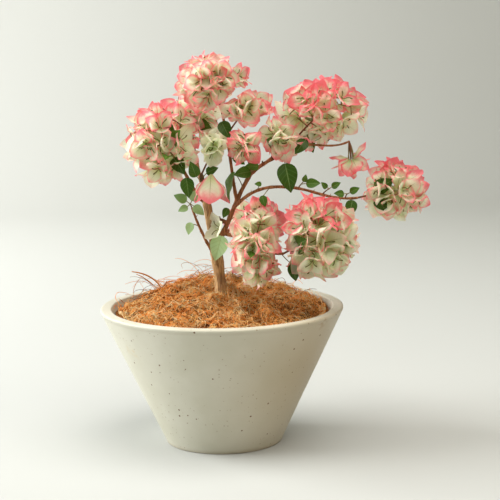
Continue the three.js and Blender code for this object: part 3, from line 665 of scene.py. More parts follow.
class Piece:
    """Grids of four-cornered faces that are joined into one mesh, in millimetres."""

    def __init__(self):
        self.points, self.faces, self.maps, self.count = [], [], [], 0

    def add(self, points, faces, maps):
        """Faces by the numbers of their corners, with each corner's place on the pattern sheet."""
        self.points.append(points.reshape(-1, 3))
        self.faces.append(faces.reshape(-1, 4))
        self.maps.append(maps.reshape(-1, 2))
        self.count += len(self.points[-1])

    def grid(self, points, maps, closed=False):
        """points is rows by columns by 3. maps has one column more than points where the grid is closed."""
        rows, columns = points.shape[:2]
        index = self.count + np.arange(rows * columns).reshape(rows, columns)
        if closed:
            index = np.concatenate([index, index[:, :1]], 1)
        self.add(points, quads(index), np.stack([quads(maps[..., 0]), quads(maps[..., 1])], -1))

    def tube(self, points, radii, sides, left=0.0, right=1.0, low=0.0, high=1.0):
        rings = rings_along(points, radii, sides)
        maps = sheet_places(np.linspace(left, right, sides + 1), np.linspace(low, high, len(rings)))
        self.grid(rings, maps, closed=True)

    def build(self, name, material, slot, solids=()):
        mesh = bpy.data.meshes.new(name)
        faces = np.concatenate(self.faces).tolist()
        mesh.from_pydata((np.concatenate(self.points) * MM).tolist(), [], faces)
        maps = np.concatenate(self.maps).astype(np.float32).ravel()
        for layer in ("Pattern", "OFBake"):
            mesh.uv_layers.new(name=layer).data.foreach_set("uv", maps)
        mesh.shade_smooth()
        mesh.materials.append(material)
        piece = add_object(name, mesh)
        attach(piece, "root")
        if solids:
            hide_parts(*solids)


def rings_along(points, radii, sides, hint=None):
    """A ring of corners round each point. radii is one number a ring, or one for each corner."""
    points = np.asarray(points, float)
    along = rows_to_unit(np.gradient(points, axis=0))
    if hint is None:
        hint = across(unit(points[-1] - points[0]), HEAD_HINT)[0]
    out = rows_to_unit(hint - along * (along @ hint)[:, None])
    side = np.cross(along, out)
    angles = TURN * np.arange(sides) / sides
    spokes = out[:, None] * np.cos(angles)[:, None] + side[:, None] * np.sin(angles)[:, None]
    radii = np.asarray(radii, float)
    radii = radii[:, None] if radii.ndim == 1 else radii
    return points[:, None] + spokes * radii[..., None]


def blade_maps(kind, share):
    """Places in the cell of the pattern sheet for a share from 0 to 1."""
    cell = min(ATLAS * ATLAS - 1, max(0, int(share * ATLAS * ATLAS)))
    row, column = divmod(cell, ATLAS)
    x, y = (np.linspace(ATLAS_MARGIN, 1 - ATLAS_MARGIN, kind[way] + 1) for way in ("columns", "rows"))
    return sheet_places((x + column) / ATLAS, (y + row) / ATLAS)


def blade_grid(blade, draw, ruffle, curl):
    """The fine surface of a blade: its outline, cup, wavy edges, creased midrib and curling tip."""
    kind = blade.kind
    u = np.linspace(0.012, 0.995, kind["rows"] + 1)
    v = np.linspace(-1, 1, kind["columns"] + 1)
    v, u = np.meshgrid(v, u)
    points = blade.points(u, v)
    edge = np.abs(v) ** 1.6
    shift_left, shift_right = draw() * TURN, draw() * TURN
    beat = mix(1.3, 2.2, draw())
    wave = np.where(v < 0, np.sin(u * beat * TURN + shift_left), np.sin(u * beat * TURN + shift_right))
    crease = 0.5 * np.exp(-((v / 0.16) ** 2))
    lift = ruffle * wave * edge * np.sin(np.pi * np.clip(u * 1.05, 0, 1)) + curl * u ** 4 - crease
    return points + blade.inner_way(u) * (lift * blade.size)[..., None]


def add_bract(bracts, blade, tint, draw):
    share = tint + 0.34 * (draw() - 0.5)
    grid = blade_grid(blade, draw, ruffle=mix(1.4, 3.0, draw()), curl=mix(-9, 1.5, draw()))
    bracts.grid(grid, blade_maps(BRACT, share))


def add_leaf(leaves, twigs, leaf, tone, draw):
    blade = leaf["blade"]
    grid = blade_grid(blade, draw, ruffle=mix(0.3, 0.9, draw()), curl=mix(-3, 0.5, draw()))
    leaves.grid(grid, blade_maps(LEAF, tone + 0.1 * (draw() - 0.5)))
    add_twig(twigs, leaf["from"], blade.base + blade.axis * 2, LEAF_RADII, draw, low=0.55)


def add_twig(twigs, start, end, radii, draw, low=0.1, high=1.0, sag=0.1):
    """A thin curved shoot, brown at its foot and green at its tip."""
    run = end - start
    hint = vec(draw() - 0.5, draw() - 0.5, draw() + 0.3)
    bow = across(unit(run), hint)[0] * length(run) * sag * (draw() - 0.3)
    t = np.linspace(0, 1, 7)
    points = start + run * t[:, None] + bow * (4 * t * (1 - t))[:, None]
    twigs.tube(points, mix(*radii, t), 5, low=low, high=high)


def add_flower_tubes(tubes, stars, head, draw):
    """The three slim true flowers of a head. Each lies along the midrib of its bract, and a few are open."""
    for blade in head["bracts"]:
        stretch = mix(0.8, 1.15, draw())
        u = TUBE_SHARES * stretch
        lean = mix(-0.35, 0.35, draw()) * u / u[-1]
        away = blade.inner_way(u) * (1.0 + 3.2 * np.sin(np.pi * np.clip(u / 0.7, 0, 1)) ** 2)[:, None]
        points = blade.points(u, lean) + away
        points[0] = head["site"] + head["axis"] * 1.0
        tubes.tube(points, TUBE_RADII * mix(0.78, 0.98, draw()), 6)
        if draw() < OPEN_SHARE:
            add_star(stars, points[-2], unit(points[-1] - points[-3]), draw)


def add_star(stars, place, axis, draw):
    """A small open flower: a shallow five-lobed disc."""
    pair = across(axis, HEAD_HINT)
    rings, around = 4, 30
    angles = TURN * np.arange(around) / around
    lobes = 0.72 + 0.28 * np.cos(5 * angles)
    share = np.linspace(0.08, 1, rings)[:, None]
    radius = STAR_RADIUS * mix(0.85, 1.1, draw()) * share * mix(1, lobes, share)
    spokes = pair[0] * np.cos(angles)[:, None] + pair[1] * np.sin(angles)[:, None]
    dish = 1.3 * np.sqrt(share) + 0.25 * np.cos(10 * angles) * share
    points = place + spokes * radius[..., None] + axis * dish[..., None]
    stars.grid(points, sheet_places(np.linspace(0, 1, around + 1), np.linspace(0, 1, rings)), closed=True)


def add_head(pieces, head, tint, draw):
    for blade in head["bracts"]:
        add_bract(pieces["bracts"], blade, tint, draw)
    add_flower_tubes(pieces["tubes"], pieces["stars"], head, draw)
    add_twig(pieces["twigs"], head["from"], head["site"] + head["axis"] * 1.2, HEAD_RADII, draw, low=0.2)


# Bark

RING_STEP = 0.9
RING_START = (0.1, -1, 0.05)
STRIP_GAP = 0.002

# Sides round a limb, swollen joints, and the relief of its lumps and of its ridges
PLAIN_BARK = (20, 5, 0.06, 0.03)
OTHER_BARK = {"trunk": (64, 2, 0.05, 0.035), "cross_stub": (20, 5, 0.2, 0.08)}

# Cut ends of old shoots: limb, place along it, the way it points, length and radius
STUBS = (
    ("leader", 0.62, (0.5, -0.5, 0.8), 9, 1.5),
    ("trunk", 0.96, (-0.3, -0.6, 0.6), 5, 1.6),
    ("trunk", 0.72, (-0.9, -0.4, 0.3), 3.5, 1.5),
    ("cross_stub", 0.5, (0.1, -0.4, 1), 5, 1.7),
    ("cross_stub", 0.3, (0.2, -0.8, -0.5), 4, 1.6),
    ("right_bough", 0.3, (-0.2, -0.3, 0.9), 5, 0.9),
)


def limb_surface(name, sides, knots, relief, fine):
    """Rings along a limb with lumps, long ridges and swollen joints, closed by a rounded end."""
    limb = LIMBS[name]
    line = bezier(limb["line"], np.linspace(0, 1, 60))
    rings = max(12, int(apart(line[1:], line[:-1]).sum() / RING_STEP))
    t = np.linspace(0, 1, rings)
    points, radii = bezier(limb["line"], t), limb_radii(limb, t)
    seed = sum(map(ord, name))
    smooth = rings_along(points, radii, sides, hint=vec(*RING_START))
    stretched = smooth * (1, 1, 0.22)
    lumps = 0.6 * waves(smooth, 14, seed) + 0.4 * waves(stretched, 5, seed + 1)
    ridges = waves(stretched, 2.2, seed + 2, 20)
    swell = np.zeros(rings)
    for k in range(knots):
        swell += np.exp(-(((t - (k + 0.6) / knots) * knots * 5) ** 2))
    scale = 1 + relief * lumps + fine * ridges + 0.16 * swell[:, None]
    radii = radii[:, None] * scale
    cap = np.sqrt(np.linspace(1, 0.02, 5)[1:])
    end = unit(points[-1] - points[-2])
    points = np.vstack([points] + [points[-1] + end * radii[-1].mean() * (1 - c * c) * 0.7 for c in cap])
    radii = np.vstack([radii] + [radii[-1] * c for c in cap])
    return rings_along(points, radii, sides, hint=vec(*RING_START))


def add_thorns(bark, limb, strip, draw):
    for k in range(limb["thorns"]):
        t = np.array((k + 0.35 + 0.4 * draw()) / limb["thorns"])
        foot = bezier(limb["line"], t)
        along = unit(bezier(limb["line"], t + 0.01) - foot)
        out = turned(across(along, HEAD_HINT), mix(-1.2, 1.2, draw()) + (k % 2) * math.pi)
        size = mix(3.0, 5.5, draw())
        s = np.linspace(0, 1, 5)
        points = foot + out * (size * s)[:, None] + along * (0.25 * size * s * s)[:, None]
        bark.tube(points, mix(0.75, 0.05, s), 5, *strip)


def add_stubs(bark):
    sides, rings = 10, 8
    s = np.linspace(0, 1, rings)
    maps = sheet_places(np.linspace(STRIP_GAP, 1 / len(LIMBS), sides + 1), np.linspace(0.9, 1, rings))
    for limb, at, way, size, radius in STUBS:
        points = limb_point(limb, at) + unit(vec(*way)) * (size * s)[:, None]
        rough = 1 + 0.18 * waves(rings_along(points, radius * np.ones(rings), sides), 3, int(size * 10))
        radii = radius * mix(1.25, 0.85, s)[:, None] * rough
        radii[-1] *= 0.15
        bark.grid(rings_along(points, radii, sides), maps, closed=True)


def build_bark():
    """Trunk and boughs. Each limb has its own strip of the pattern sheet."""
    bark = Piece()
    draw = seeded(811)
    width = 1 / len(LIMBS)
    for k, (name, limb) in enumerate(LIMBS.items()):
        strip = (k * width + STRIP_GAP, (k + 1) * width - STRIP_GAP)
        sides, *relief = OTHER_BARK.get(name, PLAIN_BARK)
        surface = limb_surface(name, sides, *relief)
        maps = sheet_places(np.linspace(*strip, sides + 1), np.linspace(0, 1, len(surface)))
        bark.grid(surface, maps, closed=True)
        add_thorns(bark, limb, strip, draw)
    add_stubs(bark)
    bark.build("bark", bark_material(), "bark", list(LIMBS))


# Pot

def arc(centre_r, centre_z, radius, start, end, steps):
    angles = np.radians(np.linspace(start, end, steps))
    return [(centre_r + radius * math.cos(a), centre_z + radius * math.sin(a)) for a in angles]


def pot_profile():
    """From the middle of the underside, out, up the wall, over the lip and down inside to the floor."""
    slope = (RIM_RADIUS - BASE_RADIUS) / POT_HEIGHT
    tilt = math.degrees(math.atan(slope))
    shoulder = POT_HEIGHT - LIP_ROUND

    def outer(z):
        return BASE_RADIUS + slope * z

    foot = arc(outer(FOOT_ROUND) - FOOT_ROUND, FOOT_ROUND, FOOT_ROUND, -90, -tilt, 6)
    wall = [(outer(z), z) for z in np.linspace(FOOT_ROUND * 2, shoulder - 2, 60)]
    lip_out = arc(outer(shoulder) - LIP_ROUND * 1.02, shoulder, LIP_ROUND, -tilt, 90, 9)
    lip_in = arc(outer(shoulder) - WALL + LIP_ROUND, shoulder, LIP_ROUND, 90, 180, 8)
    inside = [(outer(z) - WALL, z) for z in np.linspace(shoulder - 4, FLOOR + 4, 24)]
    floor = [(outer(FLOOR) - WALL - 4, FLOOR), (0.5, FLOOR)]
    return [(0.5, 0.0), (30, 0.0)] + foot + wall + lip_out + lip_in + inside + floor


def build_pot():
    """The pot, with the slight unevenness of a thing made by hand."""
    profile = np.array(pot_profile())
    out = profile[:, :1]
    turn = TURN * np.arange(POT_SIDES) / POT_SIDES
    z = np.repeat(profile[:, 1:], POT_SIDES, 1)
    points = np.stack([out * np.cos(turn), out * np.sin(turn), z], -1)
    uneven = 0.25 * waves(points, 90, 5) + 0.05 * waves(points, 14, 6)
    uneven = np.where((z < 1) | (out < 60), 0, np.minimum(uneven, 0.2))
    level = points * (1, 1, 0) / np.maximum(out[..., None], 1)
    steps = np.cumsum(np.hypot(*np.diff(profile, axis=0, prepend=profile[:1]).T))
    pot = Piece()
    maps = sheet_places(np.linspace(0, 1, POT_SIDES + 1), steps / steps[-1])
    pot.grid(points + level * uneven[..., None], maps, closed=True)
    pot.build("pot_body", pot_material(), "pot", ["pot"])


# Coconut fibre

def fill_radius(z):
    return BASE_RADIUS + (RIM_RADIUS - BASE_RADIUS) * z / POT_HEIGHT - WALL - GAP


def fibre_surface(x, y):
    """The mound with its tufts."""
    places = np.stack([x, y], -1)
    fade = np.clip((fill_radius(MULCH_EDGE) - np.hypot(x, y)) / 8, 0, 1)
    tufts = sum(height * waves(places, wide, seed) for height, wide, seed in TUFTS)
    hollow = DIP * np.exp(-((x - DIP_PLACE[0]) ** 2 + (y - DIP_PLACE[1]) ** 2) / DIP_WIDTH ** 2)
    hug = HUG * np.exp(-(x * x + y * y) / HUG_WIDTH ** 2)
    return mulch_top(x, y) + (tufts - SETTLED) * fade - hollow + hug


def build_mound():
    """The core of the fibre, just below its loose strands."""
    rings, around = 90, 200
    share = np.linspace(0.003, 1, rings)[:, None]
    turn = TURN * np.arange(around) / around
    radius = fill_radius(MULCH_EDGE)
    x, y = radius * share * np.cos(turn), radius * share * np.sin(turn)
    top = np.stack([x, y, fibre_surface(x, y) - CORE_DEPTH], -1)
    bottom = SOIL_TOP + 1.0
    lower = fill_radius(bottom)
    skirt = np.stack([lower * np.cos(turn), lower * np.sin(turn), np.full(around, bottom)], -1)
    out = 0.48 * np.vstack([share, [[1.04]]])
    turn = np.append(turn, TURN)
    maps = 0.5 + np.stack([out * np.cos(turn), out * np.sin(turn)], -1)
    mound = Piece()
    mound.grid(np.concatenate([top, skirt[None]])[::-1], maps[::-1], closed=True)
    mound.build("coir_core", mound_material(), "coir", ["coir_mulch"])


def fibre_lines(source, count, steps, size, lift, inside=4.0):
    """Curling lines over the mound, count by steps by 3. Neighbours tend the same way, as in a tuft."""
    edge = fill_radius(MULCH_EDGE) - inside
    radius = edge * np.sqrt(source.uniform(0, 1, count))
    turn = source.uniform(0, TURN, count)
    x, y = radius * np.cos(turn), radius * np.sin(turn)
    heading = 2.2 * waves(np.stack([x, y], -1), 30, 41) + source.normal(0, 0.9, count)
    total = source.uniform(*size, count)
    curve = source.normal(0, 1.6, count) / total * 2
    step = total / (steps - 1)
    lines = np.empty((count, steps, 3))
    for k in range(steps):
        reach = np.hypot(x, y)
        pull = np.minimum(1, edge / np.maximum(reach, 1))
        push = np.maximum(1, TRUNK_ROOM / np.maximum(reach, 0.5))
        x, y = x * pull * push, y * pull * push
        lines[:, k, 0], lines[:, k, 1] = x, y
        x = x + np.cos(heading) * step
        y = y + np.sin(heading) * step
        heading = heading + curve * step + source.normal(0, 0.22, count)
    t = np.linspace(0, 1, steps)
    arch = np.sin(np.pi * t) * source.uniform(*lift, count)[:, None]
    wobble = source.normal(0, 0.35, (count, steps))
    lines[..., 2] = fibre_surface(lines[..., 0], lines[..., 1]) - 0.8 + arch + wobble
    return lines


def add_fibres(piece, lines, thickness, tones, source):
    """Three-sided strands, all the same number of steps long, added in one go."""
    count, steps = lines.shape[:2]
    along = rows_to_unit(np.gradient(lines, axis=1))
    hint = source.normal(size=(count, 1, 3))
    out = rows_to_unit(hint - along * (hint * along).sum(-1, keepdims=True))
    side = np.cross(along, out)
    taper = np.sin(np.pi * np.linspace(0.12, 0.9, steps)) ** 0.5
    half = thickness[:, None, None] / 2 * taper[None, :, None]
    corners = [lines + half * (out * math.cos(a) + side * math.sin(a)) for a in (0, TURN / 3, 2 * TURN / 3)]
    index = piece.count + np.arange(count * steps * 3).reshape(count, steps, 3)
    faces = quads(np.concatenate([index, index[..., :1]], 2))
    x = np.broadcast_to(tones[:, None, None, None], faces.shape)
    y = np.broadcast_to(np.linspace(0.01, 0.99, steps - 1)[None, :, None, None], faces.shape)
    piece.add(np.stack(corners, 2), faces, np.stack([x, y], -1))


def fibre_tones(source, lines):
    """Painted light: paler at the back and on the left, where the light comes from, darker and redder down at
    the front. Painted shade: low strands darker, high ones paler.
    """
    place = lines[:, lines.shape[1] // 2]
    # Painted light: paler towards the back left, where the light comes from, darker towards the front.
    back = np.clip(0.5 + place[:, 1] / 260 - place[:, 0] / 700, 0, 1)
    patches = 0.10 * waves(place[:, :2], 28, 51)
    strands = 0.22 * waves(place[:, :2], 6, 52)
    # Painted shade: strands lying low in the hollows are darker, those arching high paler.
    painted_height_shade = 0.06 * (place[:, 2] - mulch_top(place[:, 0], place[:, 1]) + SETTLED)
    tone = 0.29 + 0.42 * back + patches + strands + painted_height_shade + source.normal(0, 0.3, len(place))
    return np.clip(tone, 0.01, 0.99)


# Layers of strands over the core: name, seed and how high they arch
LAYERS = (("coir_fibres_low", 700, (0.0, 1.6)), ("coir_fibres_high", 701, (0.6, 4.2)))
STRANDS = 4300
WISPS = 420
SPRUNG_WISPS = 210
WISP_STEPS = 12
WISP_REACH = 134

# Dark stiff bits of husk at the back left: foot, bend and tip, and thickness
HUSKS = (
    ((-76, 74, 176), (-86, 74, 196), (-114, 72, 200), 2.3),
    ((-80, 70, 175), (-92, 70, 190), (-108, 70, 197), 1.4),
    ((-112, 62, 168), (-114, 64, 186), (-98, 68, 196), 0.8),
    ((-30, 100, 188), (-18, 104, 200), (2, 100, 199), 0.7),
)
HUSK_TONE = 0.22


def build_fibres():
    material = fibre_material()
    for name, seed, lift in LAYERS:
        source = np.random.default_rng(seed)
        piece = Piece()
        lines = fibre_lines(source, STRANDS, 8, (14, 42), lift)
        add_fibres(piece, lines, source.uniform(0.4, 1.0, STRANDS), fibre_tones(source, lines), source)
        piece.build(name, material, "coir")
    build_wisps(material)


def sprung_lines(source, count):
    """Strands that spring from the mound, most at the back left, climb and bow over."""
    turn = source.normal(2.2, 0.8, count)
    edge = source.uniform(60, 128, count)
    heading = turn + source.normal(0, 1.1, count) + math.pi / 2 * source.choice((-1, 1), count)
    x, y = edge * np.cos(turn), edge * np.sin(turn)
    z = fibre_surface(x, y) - 1
    climb = source.uniform(0.15, 1.15, count)
    step = source.uniform(2.4, 5.4, count)
    bend = source.normal(0, 0.2, count)
    lines = np.empty((count, WISP_STEPS, 3))
    for k in range(WISP_STEPS):
        lines[:, k] = np.stack([x, y, z], -1)
        x = x + np.cos(heading) * step * np.cos(climb)
        y = y + np.sin(heading) * step * np.cos(climb)
        z = z + np.sin(climb) * step
        climb = climb - source.uniform(0.06, 0.22, count)
        heading = heading + bend
        pull = np.minimum(1, WISP_REACH / np.hypot(x, y))
        x, y = x * pull, y * pull
    lines[..., 2] = np.maximum(lines[..., 2], fibre_surface(lines[..., 0], lines[..., 1]) - 1)
    return lines


def add_wisps(piece, source, lines, thickness, tone):
    count = len(lines)
    thickness = source.uniform(*thickness, count)
    add_fibres(piece, lines, thickness, np.clip(source.normal(*tone, count), 0.02, 0.98), source)


def build_wisps(material):
    """Long thin wisps that stand off the mound, and the bits of husk."""
    source = np.random.default_rng(91)
    piece = Piece()
    lines = fibre_lines(source, WISPS, WISP_STEPS, (30, 75), (3, 11))
    add_wisps(piece, source, lines, (0.35, 0.6), (0.5, 0.28))
    lines = sprung_lines(source, SPRUNG_WISPS)
    add_wisps(piece, source, lines, (0.45, 0.75), (0.27, 0.15))
    t = np.linspace(0, 1, WISP_STEPS)[:, None]
    for foot, over, tip, thick in HUSKS:
        line = vec(*foot) * (1 - t) ** 2 + vec(*over) * 2 * t * (1 - t) + vec(*tip) * t * t
        add_fibres(piece, line[None], np.array([thick]), np.array([HUSK_TONE]), source)
    piece.build("coir_wisps", material, "coir")


# Materials

class Graph:
    """Short names for the shader nodes of one material."""

    def __init__(self, name):
        self.material = bpy.data.materials.new(name)
        self.material.use_nodes = True
        self.tree = self.material.node_tree
        self.tree.nodes.clear()

    def feed(self, node, inputs):
        """The outputs of a node, once its inputs have been given numbers, colours or other nodes' outputs."""
        for key, value in inputs.items():
            socket = node.inputs[key]
            if isinstance(value, bpy.types.NodeSocket):
                self.tree.links.new(value, socket)
            elif socket.type == "RGBA":
                socket.default_value = (*value, 1.0)
            else:
                socket.default_value = value
        return node.outputs

    def new(self, kind):
        return self.tree.nodes.new("ShaderNode" + kind)

    def node(self, kind, **inputs):
        return self.feed(self.new(kind), inputs)

    def math(self, operation, a, b=0.0):
        node = self.new("Math")
        node.operation = operation
        return self.feed(node, {0: a, 1: b})[0]

    def plus(self, a, b):
        return self.math("ADD", a, b)

    def minus(self, a, b):
        return self.math("SUBTRACT", a, b)

    def times(self, a, b):
        return self.math("MULTIPLY", a, b)

    def ramp(self, value, low, high):
        """0 at low, 1 at high and smooth between."""
        node = self.new("MapRange")
        node.interpolation_type = "SMOOTHSTEP"
        return self.feed(node, {0: value, 1: low, 2: high})[0]

    def mix(self, share, a, b):
        node = self.new("Mix")
        node.data_type = "RGBA"
        return self.feed(node, {0: share, 6: a, 7: b})[2]

    def blend(self, value, low, high, a, b):
        """Colour a where a value is low, and colour b where it is high."""
        return self.mix(self.ramp(value, low, high), a, b)

    def tint(self, color, other, share, most):
        """A colour moved towards another one, at most by the last number."""
        return self.mix(self.times(share, most), color, other)

    def pattern(self):
        """The place on the pattern sheet, and its x and y."""
        node = self.new("UVMap")
        node.uv_map = "Pattern"
        split = self.node("SeparateXYZ", Vector=node.outputs[0])
        return node.outputs[0], split[0], split[1]

    def here(self):
        return self.node("TexCoord")["Object"]

    def place(self, stretch=(1, 1, 1)):
        """The point on the object, with each axis stretched."""
        return self.node("Mapping", Vector=self.here(), Scale=stretch)[0]

    def axis(self, number):
        """One coordinate of the point on the object: 0, 1 or 2 for x, y or z."""
        return self.node("SeparateXYZ", Vector=self.here())[number]

    def noise(self, place, scale, detail=3.0, roughness=0.55):
        return self.node("TexNoise", Vector=place, Scale=scale, Detail=detail, Roughness=roughness)[0]

    def cells(self, place, scale):
        """Distance to the nearest seed point and that point's own number from 0 to 1."""
        cell = self.node("TexVoronoi", Vector=place, Scale=scale)
        return cell["Distance"], self.node("SeparateColor", Color=cell["Color"])[0]

    def near(self, point, radius):
        """1 at a point of the object, falling to 0 at the radius, both in metres."""
        node = self.new("VectorMath")
        node.operation = "DISTANCE"
        distance = self.feed(node, {0: self.here(), 1: point})["Value"]
        return self.ramp(distance, radius, 0.0)

    def bump(self, height, distance, strength=1.0):
        return self.node("Bump", Strength=strength, Distance=distance, Height=height)[0]

    def finish(self, color, roughness, specular, normal=None, thin=0.0, glow=None):
        """The surface. thin is the share of light that passes through, tinted by glow."""
        inputs = {"Base Color": color, "Roughness": roughness, "Specular IOR Level": specular}
        if normal is not None:
            inputs["Normal"] = normal
        surface = self.feed(self.new("BsdfPrincipled"), inputs)[0]
        if thin:
            through = self.node("BsdfTranslucent", Color=color if glow is None else glow)[0]
            surface = self.feed(self.new("MixShader"), {0: thin, 1: surface, 2: through})[0]
        self.node("OutputMaterial", Surface=surface)
        return self.material


def blade_places(g):
    """The sheet's place, the share across a blade, the share along it, and its variant from 0 to 1."""
    sheet, x, y = g.pattern()
    x, y = g.times(x, ATLAS), g.times(y, ATLAS)
    column, row = g.math("FLOOR", x), g.math("FLOOR", y)
    inner = 1 - 2 * ATLAS_MARGIN
    side = g.minus(g.minus(x, column), 0.5)
    wide = g.math("DIVIDE", g.math("ABSOLUTE", side), inner / 2)
    along = g.math("DIVIDE", g.minus(g.minus(y, row), ATLAS_MARGIN), inner)
    variant = g.math("DIVIDE", g.plus(g.times(row, ATLAS), column), ATLAS * ATLAS - 1)
    return sheet, wide, along, variant


def vein_lines(g, wide, along, count, slant):
    """Thin side veins that leave the midrib and run towards the tip."""
    phase = g.minus(g.times(along, count), g.times(wide, slant))
    return g.ramp(g.math("COSINE", g.times(phase, TURN)), 0.7, 1.0)


def bract_material():
    """Cream with a green foot, blushing to pink at the tip and edges, more so where the tint is higher."""
    foot, cream, peach = (0.70, 0.85, 0.43), (0.91, 0.98, 0.78), (0.99, 0.74, 0.64)
    pink, margin_pink = (0.99, 0.27, 0.31), (0.97, 0.22, 0.28)
    vein, midrib = (0.50, 0.46, 0.20), (0.30, 0.30, 0.09)
    g = Graph("bract")
    sheet, wide, along, tint = blade_places(g)
    edge = g.math("MAXIMUM", g.times(g.math("POWER", wide, 1.5), 0.92), g.math("POWER", along, 1.35))
    edge = g.plus(edge, g.times(g.minus(g.noise(sheet, 22.0), 0.5), 0.42))
    start = g.minus(1.18, g.times(tint, 0.74))
    blush = g.ramp(edge, g.minus(start, 0.40), g.plus(start, 0.3))
    margin = g.times(g.ramp(g.math("MAXIMUM", wide, along), 0.62, 1.0), g.ramp(tint, -0.1, 0.5))
    color = g.blend(along, 0.5, 0.0, cream, foot)
    color = g.blend(blush, 0.0, 0.6, color, peach)
    color = g.blend(blush, 0.4, 1.0, color, pink)
    color = g.tint(color, margin_pink, margin, 0.4)
    veins = g.times(vein_lines(g, wide, along, 8.0, 2.2), g.ramp(wide, 1.0, 0.3))
    color = g.tint(color, vein, veins, 0.12)
    rib = g.times(g.ramp(wide, 0.075, 0.0), g.ramp(along, 1.0, 0.2))
    color = g.tint(color, midrib, rib, 0.6)
    return g.finish(color, 0.62, specular=0.2, thin=0.66)


def leaf_material():
    """From dark to pale grey-green by the leaf's tone, with paler veins."""
    darkest, dark = (0.010, 0.038, 0.002), (0.025, 0.075, 0.003)
    middle, pale = (0.08, 0.19, 0.02), (0.47, 0.66, 0.35)
    vein, midrib, glow = (0.16, 0.30, 0.10), (0.30, 0.42, 0.16), (0.20, 0.42, 0.03)
    g = Graph("leaf")
    sheet, wide, along, tone = blade_places(g)
    color = g.mix(g.noise(sheet, 30.0), darkest, dark)
    color = g.blend(tone, 0.0, 0.5, color, middle)
    color = g.blend(tone, 0.5, 0.9, color, pale)
    color = g.tint(color, vein, vein_lines(g, wide, along, 6.0, 1.6), 0.22)
    color = g.tint(color, midrib, g.ramp(wide, 0.09, 0.0), 0.5)
    return g.finish(color, 0.42, specular=0.28, thin=0.14, glow=glow)


def twig_material():
    g = Graph("twig")
    brown, green = (0.20, 0.075, 0.035), (0.24, 0.22, 0.08)
    return g.finish(g.blend(g.pattern()[2], 0.15, 0.95, brown, green), 0.6, specular=0.3)


def tube_material():
    foot, neck, mouth = (0.26, 0.21, 0.07), (0.15, 0.16, 0.045), (0.30, 0.34, 0.11)
    g = Graph("flower_tube")
    along = g.pattern()[2]
    color = g.blend(along, 0.75, 1.0, g.blend(along, 0.0, 0.6, foot, neck), mouth)
    return g.finish(color, 0.55, specular=0.3)


def star_material():
    g = Graph("star_flower")
    throat, lobes = (0.40, 0.50, 0.12), (0.86, 0.87, 0.70)
    return g.finish(g.blend(g.pattern()[2], 0.15, 0.5, throat, lobes), 0.6, specular=0.25, thin=0.2)


def bark_material():
    """Streaked bark: tan on the trunk, which has the first strip of the sheet, and redder on the boughs."""
    tans, reds = ((0.22, 0.105, 0.04), (0.66, 0.42, 0.20)), ((0.18, 0.06, 0.024), (0.50, 0.22, 0.10))
    grey, high, scar = (0.30, 0.19, 0.11), (0.10, 0.05, 0.03), (0.10, 0.045, 0.022)
    g = Graph("bark")
    streak = g.noise(g.place((1, 1, 0.16)), 420.0, 4.0, 0.6)
    _, x, y = g.pattern()
    tan = g.blend(streak, 0.3, 0.7, *tans)
    tan = g.tint(tan, grey, g.ramp(g.noise(g.place(), 60.0), 0.45, 0.7), 0.5)
    tan = g.tint(tan, high, g.ramp(y, 0.75, 0.98), 0.8)
    red = g.blend(streak, 0.3, 0.7, *reds)
    color = g.blend(x, 1 / len(LIMBS) - 0.001, 1 / len(LIMBS) + 0.001, tan, red)
    color = g.tint(color, scar, g.near((-0.002, -0.008, 0.275), 0.017), 0.8)
    return g.finish(color, 0.78, specular=0.25, normal=g.bump(streak, 0.0006, 0.7))


def pot_material():
    """A pale matt glaze with specks and grains, a stain and a chip, painted shade that makes the right side
    darker and warmer, a thin line of painted shade below the rim, and a darker bottom edge.
    """
    # Two of these colours are painted shade: a warm, darker right side of the pot and a thin line below the
    # rim.
    glaze, dust, painted_warm_shade = ((0.565, 0.55, 0.445), (0.625, 0.61, 0.515)), (0.60, 0.56, 0.44), (0.42, 0.33, 0.20)
    speck, grain, stain = (0.30, 0.21, 0.12), (0.17, 0.095, 0.05), (0.60, 0.44, 0.20)
    chip, painted_lip_shade, darker_foot = (0.36, 0.24, 0.13), (0.42, 0.37, 0.27), (0.45, 0.38, 0.26)
    g = Graph("pot_glaze")
    here = g.place()
    cloud = g.noise(here, 16.0, 4.0)
    fine = g.noise(here, 260.0)
    color = g.blend(cloud, 0.3, 0.7, *glaze)
    color = g.tint(color, dust, g.ramp(fine, 0.35, 0.75), 0.12)
    # Painted shade: the right side of the pot darker and warmer.
    color = g.tint(color, painted_warm_shade, g.near((0.135, -0.10, 0.09), 0.18), 0.85)
    distance, number = g.cells(here, 230.0)
    groups = g.ramp(g.noise(here, 26.0), 0.38, 0.54)
    size = g.times(g.times(g.ramp(number, 0.3, 1.0), 0.2), groups)
    specks = g.times(g.ramp(g.minus(distance, size), 0.03, -0.03), g.ramp(number, 0.3, 0.5))
    color = g.tint(color, speck, specks, 0.75)
    distance, number = g.cells(here, 95.0)
    size = g.times(g.ramp(number, 0.35, 1.0), 0.115)
    grains = g.times(g.ramp(g.minus(distance, size), 0.014, -0.014), g.ramp(number, 0.35, 0.5))
    color = g.mix(grains, color, grain)
    stained = g.times(g.near((-0.107, -0.075, 0.128), 0.016), g.ramp(g.noise(here, 120.0), 0.4, 0.7))
    color = g.tint(color, stain, stained, 0.6)
    chipped = g.times(g.near((0.118, -0.088, 0.163), 0.014), g.ramp(g.noise(here, 200.0), 0.45, 0.62))
    color = g.tint(color, chip, chipped, 0.75)
    height = g.axis(2)
    # Painted shade: a thin dark line just below the rim, where the lip overhangs.
    line = g.times(g.ramp(height, 0.1605, 0.1625), g.ramp(height, 0.1655, 0.1640))
    color = g.tint(color, painted_lip_shade, line, 0.18)
    # Darker towards the bottom edge of the pot.
    color = g.tint(color, darker_foot, g.ramp(height, 0.006, 0.0), 0.5)
    relief = g.minus(g.times(fine, 0.35), g.math("MAXIMUM", specks, grains))
    roughness = g.plus(g.times(cloud, 0.2), 0.38)
    return g.finish(color, roughness, specular=0.4, normal=g.bump(relief, 0.0004, 0.5))


